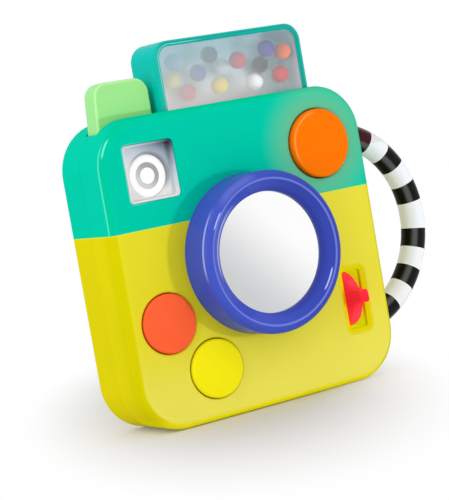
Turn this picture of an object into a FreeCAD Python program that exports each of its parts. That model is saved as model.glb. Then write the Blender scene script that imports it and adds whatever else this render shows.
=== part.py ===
import FreeCAD, Part
import math
import os
import Sketcher

# Toy camera for a small child: a flat rounded case in two colours with a mirror in its
# lens ring, three push buttons, a flash window, a shutter tab, a box of rattling beads,
# a clicking lever and a striped ring to hold it by.
# Millimetres. X is to the right seen from the front, the front faces -Y and Z is up.
# The origin is the middle of the bottom face, at half the depth of the case.

doc = FreeCAD.newDocument("ToyCamera")
sheet = doc.addObject("Spreadsheet::Sheet", "dim")
nodes = []

# Driving sizes
SIZES = {
    # Case
    "body_wide": 125.0,
    "body_tall": 124.0,
    "body_deep": 33.0,
    "corner_round": 20.0,
    "front_round": 3.5,
    "rear_round": 1.2,
    "wall": 2.5,
    "seam_ring_share": 0.553994,
    "parting_back": 1.0,
    "parting_bevel": 0.25,
    "hole_round": 1.0,
    # Clearances
    "overrun": 1.0,
    "fit_gap": 0.2,
    "move_gap": 0.4,
    "rest_gap": 0.3,
    "pin_gap": 0.05,
    "thread_gap": 0.05,
    "flush_gap": 0.02,
    # Case screws and their bosses
    "boss_front_radius": 3.1,
    "boss_rear_radius": 4.0,
    "screw_radius": 1.15,
    "screw_reach": 8.0,
    "screw_head_radius": 2.6,
    "screw_head_tall": 1.8,
    "screw_sunk": 6.0,
    "screw_hole_slack": 0.35,
    # Lens ring, mirror and its carrier
    "lens_height_share": 0.5016,
    "ring_wide": 8.3,
    "ring_proud": 16.0,
    "ring_shoulder_round": 3.1,
    "crest_inward": 3.5,
    "crest_inner_round": 1.0,
    "mirror_window_radius": 24.2,
    "mirror_window_proud": 12.3,
    "lip_thick": 1.1,
    "mirror_lap": 1.8,
    "mirror_thick": 1.2,
    "carrier_plate": 1.5,
    "carrier_rim": 3.0,
    "carrier_tube_wall": 2.0,
    "spigot_step": 1.2,
    "ring_screw_reach": 7.0,
    "ring_screw_head_tall": 1.6,
    "ring_screw_head_radius": 2.3,
    # Push buttons
    "button_skin": 1.5,
    "button_skirt": 1.3,
    "button_crown": 0.7,
    "button_edge_round": 1.1,
    "edge_round_share": 0.9,
    "flange_wide": 1.1,
    "flange_thick": 1.2,
    "stem_radius": 3.0,
    "orange_radius": 14.0,
    "orange_proud": 2.0,
    "orange_across_share": 0.636,
    "orange_height_share": 0.8113,
    "coral_radius": 11.6,
    "coral_proud": 1.5,
    "coral_side_margin": 6.55,
    "yellow_radius": 11.6,
    "yellow_proud": 1.5,
    "yellow_across_share": -0.4246,
    "yellow_height_share": 0.1669,
    "lower_button_gap": 4.87,
    "dome_radius": 4.4,
    "dome_top_radius": 2.6,
    "dome_tall": 2.0,
    "dome_skin": 0.6,
    # Circuit boards
    "board_front": 8.6,
    "board_thick": 1.6,
    "board_left_inset": 10.0,
    "board_right_share": 0.54,
    "board_low": 16.0,
    "board_top_share": 0.63,
    "board_corner": 2.0,
    "post_radius": 2.2,
    "post_inset": 4.5,
    "board_screw_head_radius": 2.0,
    "board_screw_head_tall": 1.3,
    "board_screw_radius": 0.9,
    "board_screw_reach": 4.0,
    "chip_wide": 12.0,
    "chip_thick": 1.8,
    "switch_board_radius": 10.2,
    "switch_post_spread": 7.6,
    # Flash window
    "flash_side": 23.0,
    "flash_corner": 2.0,
    "flash_across_share": -0.6456,
    "flash_height_share": 0.8222,
    "panel_margin": 0.8,
    "panel_thick": 3.2,
    "tray_deep": 2.7,
    "tray_wall": 0.8,
    "tray_sunk": 0.2,
    "flash_lens_radius": 8.5,
    "flash_lens_drop": 1.5,
    "flash_lens_recess": 1.2,
    "flash_lens_thick": 1.3,
    "flash_lens_round": 0.5,
    "flash_ring_radius": 5.3,
    "flash_core_radius": 3.2,
    "flash_ring_sunk": 0.8,
    "flash_ring_thick": 0.4,
    "led_radius": 2.5,
    "led_tip_share": 0.48,
    "led_collar_radius": 2.9,
    "led_collar_thick": 0.8,
    "led_board_wide": 24.0,
    "led_board_tall": 11.0,
    "led_board_thick": 1.2,
    "led_post_radius": 1.7,
    "led_post_spread": 9.6,
    # Rattle box and beads
    "box_left_share": -0.416,
    "box_right_share": 0.72,
    "box_front": 9.0,
    "box_back": 11.0,
    "box_above": 27.5,
    "box_below": 12.0,
    "box_top_round": 7.2,
    "box_low_round": 2.0,
    "box_edge_round": 1.3,
    "box_rim": 1.7,
    "box_back_wall": 2.0,
    "window_thick": 1.5,
    "window_sunk": 0.5,
    "box_flange_wide": 1.2,
    "box_flange_thick": 2.0,
    "box_flange_drop": 0.6,
    "bead_radius": 3.5,
    # Shutter tab
    "tab_left_share": -0.8768,
    "tab_lean_share": 0.0320,
    "tab_right_share": -0.4528,
    "tab_above": 15.0,
    "tab_thick": 8.9,
    "tab_top_round": 6.0,
    "tab_edge_round": 1.3,
    "tab_below": 10.8,
    "tab_flange_wide": 0.9,
    "tab_flange_thick": 2.0,
    "tab_hollow_wall": 1.6,
    "tab_spring_radius": 2.6,
    "tab_spring_wire": 0.7,
    "tab_spring_long": 13.0,
    "ledge_thick": 2.0,
    "ledge_wide": 10.0,
    "ledge_front": 4.0,
    # Click lever, its well and pin
    "slot_wide": 9.2,
    "lever_end_gap": 0.4,
    "slot_across_share": 0.7264,
    "slot_height_share": 0.2758,
    "slot_bevel_wide": 2.2,
    "slot_bevel_deep": 0.9,
    "slot_corner": 1.2,
    "well_wall": 1.2,
    "lever_back_room": 1.8,
    "lever_radius": 11.7,
    "lever_thick": 4.6,
    "lever_aside": 0.7,
    "lever_sunk": 9.4,
    "lever_edge_round": 0.5,
    "knob_proud": 5.2,
    "knob_rise": 1.4,
    "knob_half_wide": 2.7,
    "knob_neck_half_wide": 4.3,
    "knob_neck_inset": 0.08,
    "knob_waist_proud": 1.5,
    "knob_round": 1.3,
    "neck_round": 1.6,
    "lever_hub_radius": 3.5,
    "pin_radius": 1.5,
    "notch_radius": 0.9,
    "notch_count": 5.0,
    "leaf_thick": 0.4,
    "leaf_wide": 4.0,
    "leaf_foot": 3.0,
    "leaf_drop_share": 0.66,
    # Ring handle
    "handle_radius": 41.0,
    "handle_tube": 5.3,
    "handle_inset": 9.5,
    "handle_flange_radius": 6.3,
    "handle_flange_thick": 1.5,
    "handle_end": 0.5,
    "socket_thick": 2.0,
    "socket_half_tall": 8.0,
    "socket_step": 0.3,
    # Speaker
    "speaker_radius": 14.0,
    "speaker_deep": 4.5,
    "speaker_lip": 1.6,
    "magnet_radius": 8.0,
    "magnet_deep": 4.0,
    "cone_skin": 0.5,
    "speaker_rib": 1.2,
    "speaker_height_share": 0.7742,
    "grille_hole_radius": 1.1,
    "grille_pitch": 3.9,
    # Batteries, their box, contacts and door
    "cell_radius": 5.25,
    "cell_long": 44.5,
    "cell_nub_radius": 1.9,
    "cell_nub_long": 0.8,
    "cell_pitch": 11.0,
    "cell_low_inset": 20.0,
    "cell_gap": 0.35,
    "cell_box_wall": 1.5,
    "contact_thick": 0.5,
    "contact_room": 3.4,
    "contact_spring_radius": 3.0,
    "contact_spring_tip": 1.7,
    "contact_spring_skin": 0.5,
    "door_lap": 2.6,
    "door_thick": 1.6,
    "door_corner": 3.0,
    "door_ear": 8.0,
    "door_screw_radius": 1.4,
    "door_screw_head_radius": 2.5,
    "door_screw_head_tall": 0.8,
    "door_screw_reach": 7.0,
    "door_boss_radius": 3.4,
    # Power switch
    "switch_across_share": -0.544,
    "switch_height_share": 0.5161,
    "knob_wide": 8.0,
    "knob_tall": 4.4,
    "knob_edge_round": 0.6,
    "slider_travel": 3.0,
    "slider_flange_wide": 18.0,
    "slider_flange_tall": 8.0,
    "slider_flange_thick": 1.0,
    "slider_sunk": 0.3,
    "switch_case_wide": 14.0,
    "switch_case_deep": 5.0,
    "switch_ear_wide": 34.0,
    "switch_ear_thick": 1.2,
    "switch_post_radius": 2.2,
}

for row, (alias, value) in enumerate(SIZES.items(), start=1):
    sheet.set(f"A{row}", alias)
    sheet.set(f"B{row}", str(value))
    sheet.setAlias(f"B{row}", alias)
doc.recompute()

# Places worked out from the driving sizes
FRONT = "(-dim.body_deep / 2)"
REAR = "(dim.body_deep / 2)"
FRONT_INSIDE = f"({FRONT} + dim.wall)"
REAR_INSIDE = f"({REAR} - dim.wall)"
PARTING = "dim.parting_back"
SIDE = "(dim.body_wide / 2)"
TOP = "dim.body_tall"
LENS_UP = "(dim.body_tall * dim.lens_height_share)"
RING_RADIUS = "(dim.mirror_window_radius + dim.ring_wide)"
SEAM = f"({LENS_UP} + {RING_RADIUS} * dim.seam_ring_share)"
MIRROR_RADIUS = "(dim.mirror_window_radius + dim.mirror_lap)"
RING_BORE = f"({MIRROR_RADIUS} + dim.fit_gap)"
RING_SCREW_CIRCLE = f"(({RING_BORE} + {RING_RADIUS}) / 2)"
CARRIER_TUBE = f"({MIRROR_RADIUS} - dim.carrier_rim)"
SPIGOT = f"({CARRIER_TUBE} - dim.spigot_step)"
BOARD_FRONT = "(-dim.board_front)"
BOARD_BACK = f"({BOARD_FRONT} + dim.board_thick)"


def number(expression):
    """The value of an expression of the sheet's sizes."""
    return float(sheet.evalExpression(str(expression)))


def at(share, size):
    """A place as a share of one of the sizes of the case."""
    return f"(dim.{share} * {size})"


def new_body(name, place=("0", "0", "0")):
    """An empty body whose own origin lies at the given place."""
    body = doc.addObject("PartDesign::Body", name)
    for axis, expression in zip("xyz", place):
        body.setExpression(f"Placement.Base.{axis}", expression)
    return body


def new_sketch(body, plane, offset, name):
    """A sketch on one of the body's own planes, moved along the plane's normal."""
    sketch = body.newObject("Sketcher::SketchObject", name)
    origin_plane = [f for f in body.Origin.OriginFeatures if f.Role == plane][0]
    sketch.AttachmentSupport = [(origin_plane, "")]
    sketch.MapMode = "FlatFace"
    sketch.setExpression("AttachmentOffset.Base.z", offset)
    return sketch


def facing(body, y, name):
    """A sketch seen from the front, at the given depth."""
    return new_sketch(body, "XZ_Plane", f"-({y})", name)


def pin_down(sketch, geometry, vertex, x, y, label):
    """Tie a point of a sketch to two expressions."""
    for kind, axis, expression in (("DistanceX", -2, x), ("DistanceY", -1, y)):
        if expression == "0":
            sketch.addConstraint(Sketcher.Constraint("PointOnObject", geometry, vertex, axis))
            continue
        value = number(expression)
        index = sketch.addConstraint(Sketcher.Constraint(kind, -1, 1, geometry, vertex, value))
        sketch.renameConstraint(index, f"{label}_{kind}")
        sketch.setExpression(f"Constraints.{label}_{kind}", expression)


def bind_radius(sketch, geometry, expression, label):
    """Tie an arc's or circle's radius to an expression."""
    index = sketch.addConstraint(Sketcher.Constraint("Radius", geometry, number(expression)))
    sketch.renameConstraint(index, label)
    sketch.setExpression(f"Constraints.{label}", expression)


def circle(sketch, x, y, radius):
    """A circle with its centre and radius tied to expressions."""
    count = sketch.GeometryCount
    centre = FreeCAD.Vector(number(x), number(y), 0)
    index = sketch.addGeometry(Part.Circle(centre, FreeCAD.Vector(0, 0, 1), number(radius)))
    bind_radius(sketch, index, radius, f"circle{count}_radius")
    pin_down(sketch, index, 3, x, y, f"circle{count}")


def arc_between(centre, radius, start, end):
    """The arc that runs anticlockwise from one point to another."""
    first = math.atan2(start.y - centre.y, start.x - centre.x)
    last = math.atan2(end.y - centre.y, end.x - centre.x)
    if last < first:
        last += 2 * math.pi
    return Part.ArcOfCircle(Part.Circle(centre, FreeCAD.Vector(0, 0, 1), radius), first, last)


def outline(sketch, corners):
    """A closed outline through corners (x, y), with a third value for a rounded corner.

    The third value is a radius, or the word dome where the side after that corner is an
    arc with its centre on the sketch's upright axis.
    """
    tag = sketch.GeometryCount
    count = len(corners)
    points = [FreeCAD.Vector(number(c[0]), number(c[1]), 0) for c in corners]
    marks = []
    for i, corner in enumerate(corners):
        mark = sketch.addGeometry(Part.Point(points[i]), True)
        pin_down(sketch, mark, 1, corner[0], corner[1], f"corner{tag}_{i}")
        marks.append(mark)
    ends = {}
    arcs = {}
    for i, corner in enumerate(corners):
        if len(corner) < 3 or corner[2] == "dome":
            ends[i] = (points[i], points[i])
            continue
        radius = number(corner[2])
        to_before = (points[i - 1] - points[i]).normalize()
        to_after = (points[(i + 1) % count] - points[i]).normalize()
        half = to_before.getAngle(to_after) / 2
        reach = radius / math.tan(half)
        start = points[i] + to_before * reach
        end = points[i] + to_after * reach
        middle = points[i] + (to_before + to_after).normalize() * (radius / math.sin(half))
        left_turn = to_before.cross(to_after).z < 0
        pair = (start, end) if left_turn else (end, start)
        arc = sketch.addGeometry(arc_between(middle, radius, *pair))
        ends[i] = (start, end)
        arcs[i] = (arc, (1, 2) if left_turn else (2, 1))
    sides = []
    for i, corner in enumerate(corners):
        after = (i + 1) % count
        start, end = ends[i][1], ends[after][0]
        if len(corner) > 2 and corner[2] == "dome":
            middle_y = (end.x**2 + end.y**2 - start.x**2 - start.y**2) / (2 * (end.y - start.y))
            middle = FreeCAD.Vector(0, middle_y, 0)
            forward = (start - middle).cross(end - middle).z > 0
            pair = (start, end) if forward else (end, start)
            side = sketch.addGeometry(arc_between(middle, (start - middle).Length, *pair))
            sketch.addConstraint(Sketcher.Constraint("PointOnObject", side, 3, -2))
            sides.append((side, (1, 2) if forward else (2, 1)))
        else:
            side = sketch.addGeometry(Part.LineSegment(start, end))
            sides.append((side, (1, 2)))
    for i in range(count):
        after = (i + 1) % count
        side, (first, last) = sides[i]
        for corner, vertex, arc_end in ((i, first, 1), (after, last, 0)):
            if corner in arcs:
                arc, arc_vertices = arcs[corner]
                joined = Sketcher.Constraint("Tangent", side, vertex, arc, arc_vertices[arc_end])
                sketch.addConstraint(joined)
                through = Sketcher.Constraint("PointOnObject", marks[corner], 1, side)
                sketch.addConstraint(through)
            else:
                met = Sketcher.Constraint("Coincident", side, vertex, marks[corner], 1)
                sketch.addConstraint(met)
    for i, (arc, _) in arcs.items():
        bind_radius(sketch, arc, corners[i][2], f"corner{tag}_{i}_radius")


def rectangle(sketch, left, right, low, high, radius=None):
    """A rectangle given by its four sides, with all its corners rounded alike."""
    rest = () if radius is None else (radius,)
    places = ((left, low), (right, low), (right, high), (left, high))
    outline(sketch, [place + rest for place in places])


def feature(body, kind, sketch, name, **expressions):
    """A feature made from a sketch, with its properties tied to expressions."""
    made = body.newObject(f"PartDesign::{kind}", name)
    made.Profile = sketch
    for prop, expression in expressions.items():
        made.setExpression(prop, expression)
    sketch.Visibility = False
    return made


def turned(body, corners, name, kind="Revolution"):
    """A ring or disc turned about the body's own Y axis from corners (radius, y)."""
    sketch = new_sketch(body, "XY_Plane", "0", f"{name}_profile")
    outline(sketch, corners)
    made = body.newObject(f"PartDesign::{kind}", name)
    made.Profile = sketch
    made.ReferenceAxis = (sketch, ["V_Axis"])
    made.Angle = 360
    return made


def near(a, b):
    """Whether two lengths are the same."""
    return abs(a - b) < 1e-4


def edge_names(shape, test):
    """The names of the shape's edges that pass a test, leaving out those shrunk to a point."""
    numbered = enumerate(shape.Edges, start=1)
    return [f"Edge{i}" for i, edge in numbered if not edge.Degenerated and test(edge)]


def at_depth(edge, y):
    """Whether an edge lies in the upright plane at that depth."""
    return all(near(v.Y, y) for v in edge.Vertexes)


def at_height(edge, z):
    """Whether an edge lies in the level plane at that height."""
    return all(near(v.Z, z) for v in edge.Vertexes)


def is_circle(edge, radius):
    """Whether an edge is part of a circle of that radius."""
    return edge.Curve.TypeId == "Part::GeomCircle" and near(edge.Curve.Radius, radius)


def soften(body, kind, size, test, name):
    """Round or bevel the edges of the body so far that pass a test."""
    doc.recompute()
    base = body.Tip
    made = body.newObject(f"PartDesign::{kind}", name)
    made.Base = (base, edge_names(base.Shape, test))
    made.setExpression("Radius" if kind == "Fillet" else "Size", size)
    doc.recompute()
    return made


def keep(thing, name):
    """Name a finished sub-part as a node."""
    thing.Label = name
    nodes.append(thing)
    return thing


def cut_from(thing, tool, name):
    """The finished sub-part left when a shared tool is cut away."""
    made = doc.addObject("Part::Cut", f"{name}_cut")
    made.Base = thing
    made.Tool = tool
    return keep(made, name)


def grouped(members, name):
    """Identical pieces kept together as one node of separate solids."""
    made = doc.addObject("Part::Compound", f"{name}_group")
    made.Links = members
    return keep(made, name)


# Button places, with the coral one beside the edge of the case and clear of the yellow one
YELLOW_X = at("yellow_across_share", SIDE)
YELLOW_Z = at("yellow_height_share", TOP)
CORAL_X = f"(dim.coral_side_margin + dim.coral_radius - {SIDE})"
LOWER_SPACING = "(dim.coral_radius + dim.yellow_radius + dim.lower_button_gap)"
CORAL_Z = f"({YELLOW_Z} + sqrt({LOWER_SPACING}^2 - ({YELLOW_X} - {CORAL_X})^2))"
BUTTON_PLACES = {
    "orange": (at("orange_across_share", SIDE), at("orange_height_share", TOP)),
    "coral": (CORAL_X, CORAL_Z),
    "yellow": (YELLOW_X, YELLOW_Z),
}
BUTTONS = {
    name: {"x": x, "z": z, "radius": f"dim.{name}_radius", "proud": f"dim.{name}_proud"}
    for name, (x, z) in BUTTON_PLACES.items()
}

# Flash window place
FLASH_X = at("flash_across_share", SIDE)
FLASH_Z = at("flash_height_share", TOP)
FLASH_HALF = "dim.flash_side / 2"

# Rattle box place
BOX_LEFT = at("box_left_share", SIDE)
BOX_RIGHT = at("box_right_share", SIDE)
BOX_TOP = f"({TOP} + dim.box_above)"
BOX_LOW = f"({TOP} - dim.box_below)"
BOX_FRONT = "(-dim.box_front)"
BOX_BACK = "dim.box_back"

# Shutter tab place
TAB_LEFT = at("tab_left_share", SIDE)
TAB_RIGHT = at("tab_right_share", SIDE)
TAB_HALF = "(dim.tab_thick / 2)"
TAB_LOW = f"({TOP} - dim.tab_below)"

# Lever slot place
SLOT_X = at("slot_across_share", SIDE)
SLOT_Z = at("slot_height_share", TOP)
SLOT_LEFT = f"({SLOT_X} - dim.slot_wide / 2)"
SLOT_RIGHT = f"({SLOT_X} + dim.slot_wide / 2)"
SLOT_HALF = "(dim.lever_radius + dim.lever_end_gap)"
SLOT_LOW = f"({SLOT_Z} - {SLOT_HALF})"
SLOT_HIGH = f"({SLOT_Z} + {SLOT_HALF})"
LEVER_Y = f"({FRONT} + dim.lever_sunk)"
WELL_BACK = f"({LEVER_Y} + dim.lever_radius + dim.lever_back_room)"
WELL_DEEP = f"({WELL_BACK} - {FRONT_INSIDE})"
KNOB_NECK = "sqrt((dim.lever_radius - dim.knob_neck_inset)^2 - dim.knob_neck_half_wide^2)"
KNOB_WAIST = "(dim.lever_radius + dim.knob_waist_proud)"
KNOB_REACH = "(dim.lever_radius + dim.knob_proud)"

# Handle place
HANDLE_X = f"({SIDE} - dim.handle_inset)"
HANDLE_Z = f"({TOP} / 2)"

# Speaker and power switch places
SPEAKER_Z = at("speaker_height_share", TOP)
SWITCH_X = at("switch_across_share", SIDE)
SWITCH_Z = at("switch_height_share", TOP)
SWITCH_POST_X = "(dim.switch_ear_wide / 2 - dim.switch_post_radius)"

# Battery box: three cells side by side, their contacts and the door over them
CELL_Y = f"({REAR} - dim.door_thick - dim.cell_gap - dim.cell_radius)"
CELL_ROOM_X = "(dim.cell_long / 2 + dim.contact_room)"
CELL_ROOM_LOW = "(dim.cell_low_inset - dim.cell_radius - dim.cell_gap)"
CELL_ROOM_HIGH = "(dim.cell_low_inset + dim.cell_pitch * 2 + dim.cell_radius + dim.cell_gap)"
CELL_ROOM_FRONT = f"({CELL_Y} - dim.cell_radius - dim.cell_gap)"
CELL_BOX_FRONT = f"({CELL_ROOM_FRONT} - dim.cell_box_wall)"
DOOR_X = f"({CELL_ROOM_X} + dim.door_lap)"
DOOR_LOW = f"({CELL_ROOM_LOW} - dim.door_lap)"
DOOR_HIGH = f"({CELL_ROOM_HIGH} + dim.door_ear)"
DOOR_SCREW_Z = f"({DOOR_HIGH} - dim.door_ear / 2)"
DOOR_SEAT = f"({REAR} - dim.door_thick - dim.fit_gap)"

# Case screws: places by half of the case, as shares of its half width and its height
BOSS_PLACE_SHARES = {
    "upper": [(-0.9024, 0.6855), (0.9024, 0.6855), (-0.312, 0.8387), (0.312, 0.8387)],
    "lower": [(-0.9024, 0.5323), (0.9024, 0.4839), (-0.832, 0.0968), (0.736, 0.0806)],
}
BOSSES = {
    half: [(f"({SIDE} * {across})", f"({TOP} * {up})") for across, up in places]
    for half, places in BOSS_PLACE_SHARES.items()
}


# Case shells
def pocket_through(body, sketch, name, depth="dim.wall + dim.overrun"):
    """A hole cut from the front or the inside towards the back."""
    return feature(body, "Pocket", sketch, name, Length=depth)


def shell_blank(half, end):
    """One quarter of the case: its walls, with the outer edges rounded."""
    tag = f"{end}_{half}"
    body = new_body(f"{tag}_blank")
    low, high = (SEAM, TOP) if half == "upper" else ("0", SEAM)
    left, right = f"(-{SIDE})", SIDE
    rounded = "dim.corner_round"
    corners = [(left, low), (right, low), (right, high, rounded), (left, high, rounded)]
    inner_round = "dim.corner_round - dim.wall"
    inner_left, inner_right = f"({left} + dim.wall)", f"({right} - dim.wall)"
    inner_high = f"({high} - dim.wall)"
    inner = [
        (inner_left, low),
        (inner_right, low),
        (inner_right, inner_high, inner_round),
        (inner_left, inner_high, inner_round),
    ]
    if half == "lower":
        corners = [(left, low, rounded), (right, low, rounded), (right, high), (left, high)]
        inner_low = "dim.wall"
        inner = [
            (inner_left, inner_low, inner_round),
            (inner_right, inner_low, inner_round),
            (inner_right, high),
            (inner_left, high),
        ]
    start, stop = (PARTING, FRONT) if end == "front" else (REAR, PARTING)
    outside = facing(body, start, f"{tag}_outline")
    outline(outside, corners)
    feature(body, "Pad", outside, f"{tag}_block", Length=f"{start} - {stop}")
    face, face_round = (FRONT, "dim.front_round") if end == "front" else (REAR, "dim.rear_round")
    face_y, parting_y, seam_z = number(face), number(PARTING), number(SEAM)

    def outer_edge(y):
        return lambda edge: at_depth(edge, y) and not at_height(edge, seam_z)

    soften(body, "Fillet", face_round, outer_edge(face_y), f"{tag}_face_round")
    soften(body, "Chamfer", "dim.parting_bevel", outer_edge(parting_y), f"{tag}_bevel")
    hollow_from, hollow_to = (FRONT_INSIDE, PARTING) if end == "front" else (PARTING, REAR_INSIDE)
    inside = facing(body, hollow_from, f"{tag}_hollow_outline")
    outline(inside, inner)
    feature(body, "Pocket", inside, f"{tag}_hollow", Length=f"{hollow_to} - {hollow_from}")
    return body


def front_bosses(body, half):
    """Screw bosses of a front shell, with pilot holes from the parting face."""
    base = facing(body, PARTING, f"front_{half}_bosses_outline")
    for x, z in BOSSES[half]:
        circle(base, x, z, "dim.boss_front_radius")
    length = f"{PARTING} - {FRONT_INSIDE}"
    feature(body, "Pad", base, f"front_{half}_bosses", Length=length)
    pilots = facing(body, f"({PARTING} - dim.screw_reach)", f"front_{half}_pilots_outline")
    for x, z in BOSSES[half]:
        circle(pilots, x, z, "dim.screw_radius + dim.thread_gap")
    pocket_through(body, pilots, f"front_{half}_pilots", "dim.screw_reach + dim.overrun")


def rear_bosses(body, half):
    """Screw bosses of a rear shell, with clearance holes and sunk seats for the heads."""
    base = facing(body, REAR_INSIDE, f"rear_{half}_bosses_outline")
    for x, z in BOSSES[half]:
        circle(base, x, z, "dim.boss_rear_radius")
    length = f"{REAR_INSIDE} - {PARTING}"
    feature(body, "Pad", base, f"rear_{half}_bosses", Length=length)
    holes = facing(body, f"({PARTING} - dim.overrun)", f"rear_{half}_holes_outline")
    for x, z in BOSSES[half]:
        circle(holes, x, z, "dim.screw_radius + dim.screw_hole_slack")
    pocket_through(body, holes, f"rear_{half}_holes", "dim.body_deep")
    seats = facing(body, f"({REAR} - dim.screw_sunk)", f"rear_{half}_seats_outline")
    for x, z in BOSSES[half]:
        circle(seats, x, z, "dim.screw_head_radius + dim.fit_gap")
    pocket_through(body, seats, f"rear_{half}_seats", "dim.screw_sunk + dim.overrun")


def lens_openings(body, half):
    """The carrier's hole and the ring's screw holes in a front shell."""
    hole = facing(body, f"({FRONT} - dim.overrun)", f"front_{half}_lens_hole_outline")
    circle(hole, "0", LENS_UP, f"{SPIGOT} + dim.fit_gap")
    through = "dim.wall + 2 * dim.overrun"
    pocket_through(body, hole, f"front_{half}_lens_hole", through)
    screws = facing(body, f"({FRONT} - dim.overrun)", f"front_{half}_ring_screw_outline")
    for x, z in RING_SCREWS[half]:
        circle(screws, x, z, "dim.screw_radius + dim.screw_hole_slack")
    pocket_through(body, screws, f"front_{half}_ring_screw_holes", through)


def button_opening(body, name):
    """The hole of one push button, with its outer edge rounded off."""
    place = BUTTONS[name]
    radius = f"{place['radius']} + dim.move_gap"
    hole = facing(body, f"({FRONT} - dim.overrun)", f"{name}_hole_outline")
    circle(hole, place["x"], place["z"], radius)
    pocket_through(body, hole, f"{name}_hole", "dim.wall + 2 * dim.overrun")
    face_y, hole_radius = number(FRONT), number(radius)

    def rim(edge):
        return is_circle(edge, hole_radius) and at_depth(edge, face_y)

    soften(body, "Fillet", "dim.hole_round", rim, f"{name}_hole_round")


def ring_screw_places():
    """The lens ring's three screws, evenly spaced, by the half of the case they pass."""
    places = {"upper": [], "lower": []}
    for turn in range(RING_SCREW_COUNT):
        angle = FIRST_RING_SCREW + turn * FULL_TURN / RING_SCREW_COUNT
        x = f"{RING_SCREW_CIRCLE} * cos({angle} deg)"
        z = f"{LENS_UP} + {RING_SCREW_CIRCLE} * sin({angle} deg)"
        half = "upper" if angle == FIRST_RING_SCREW else "lower"
        places[half].append((x, z))
    return places


FULL_TURN = 360
RING_SCREW_COUNT = 3
FIRST_RING_SCREW = 90
RING_SCREWS = ring_screw_places()


def top_openings(body, tag):
    """The holes in the top for the rattle box and the shutter tab."""
    box_hole = new_sketch(body, "XY_Plane", TOP, f"{tag}_box_hole_outline")
    rectangle(
        box_hole,
        f"{BOX_LEFT} - dim.fit_gap",
        f"{BOX_RIGHT} + dim.fit_gap",
        f"{BOX_FRONT} - dim.fit_gap",
        f"{BOX_BACK} + dim.fit_gap",
    )
    feature(body, "Pocket", box_hole, f"{tag}_box_hole", Length="dim.wall + dim.overrun")
    tab_hole = new_sketch(body, "XY_Plane", TOP, f"{tag}_tab_hole_outline")
    rectangle(
        tab_hole,
        f"{TAB_LEFT} - dim.move_gap",
        f"{TAB_RIGHT} + dim.move_gap",
        f"-{TAB_HALF} - dim.move_gap",
        f"{TAB_HALF} + dim.move_gap",
    )
    feature(body, "Pocket", tab_hole, f"{tag}_tab_hole", Length="dim.corner_round")


def handle_socket(body, tag, z, wall_inside):
    """A rib that traps one end of the ring handle, before the handle's own hole is cut."""
    start, stop = (PARTING, wall_inside) if tag.startswith("front") else (wall_inside, PARTING)
    left = f"{HANDLE_X} + dim.handle_end + dim.handle_flange_thick + dim.socket_step"
    rib = facing(body, start, f"{tag}_socket_outline")
    low, high = f"{z} - dim.socket_half_tall", f"{z} + dim.socket_half_tall"
    rectangle(rib, left, f"{left} + dim.socket_thick", low, high)
    feature(body, "Pad", rib, f"{tag}_socket", Length=f"{start} - {stop}")


def handle_clearance():
    """The ring handle grown by its fit, shared by all four shells as a tool."""
    tool = doc.addObject("Part::Torus", "handle_clearance")
    tool.setExpression("Radius1", "dim.handle_radius")
    tool.setExpression("Radius2", "dim.handle_tube + dim.fit_gap")
    tool.Angle3 = 180
    upright = FreeCAD.Rotation(FreeCAD.Vector(1, 0, 0), 90)
    tool.Placement.Rotation = FreeCAD.Rotation(FreeCAD.Vector(0, 1, 0), 90) * upright
    tool.setExpression("Placement.Base.x", HANDLE_X)
    tool.setExpression("Placement.Base.z", HANDLE_Z)
    return tool


HANDLE_TOP_Z = f"({HANDLE_Z} + dim.handle_radius)"
HANDLE_LOW_Z = f"({HANDLE_Z} - dim.handle_radius)"
HANDLE_TOOL = handle_clearance()


def flash_square(sketch, inset):
    """The flash window's rounded square, drawn in by an inset."""
    half = f"({FLASH_HALF} - ({inset}))"
    rectangle(
        sketch,
        f"{FLASH_X} - {half}",
        f"{FLASH_X} + {half}",
        f"{FLASH_Z} - {half}",
        f"{FLASH_Z} + {half}",
        f"dim.flash_corner - ({inset})",
    )


def front_upper_shell():
    """The upper front quarter, with the orange button's hole and the flash window."""
    body = shell_blank("upper", "front")
    front_bosses(body, "upper")
    handle_socket(body, "front_upper", HANDLE_TOP_Z, FRONT_INSIDE)
    lens_openings(body, "upper")
    button_opening(body, "orange")
    window = facing(body, f"({FRONT} - dim.overrun)", "flash_window_outline")
    flash_square(window, "0")
    pocket_through(body, window, "flash_window", "dim.wall + 2 * dim.overrun")
    top_openings(body, "front_upper")
    cut_from(body, HANDLE_TOOL, "front_upper_shell")


def board_post_places():
    """The four posts that carry the main circuit board."""
    left = f"({BOARD_LEFT} + dim.post_inset)"
    right = f"({BOARD_RIGHT} - dim.post_inset)"
    low = "(dim.board_low + dim.post_inset)"
    high = f"({BOARD_TOP} - dim.post_inset)"
    return [(left, low), (right, low), (right, high), (left, high)]


BOARD_LEFT = f"(-{SIDE} + dim.board_left_inset)"
BOARD_RIGHT = at("board_right_share", SIDE)
BOARD_TOP = at("board_top_share", TOP)
BOARD_POSTS = board_post_places()


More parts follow.
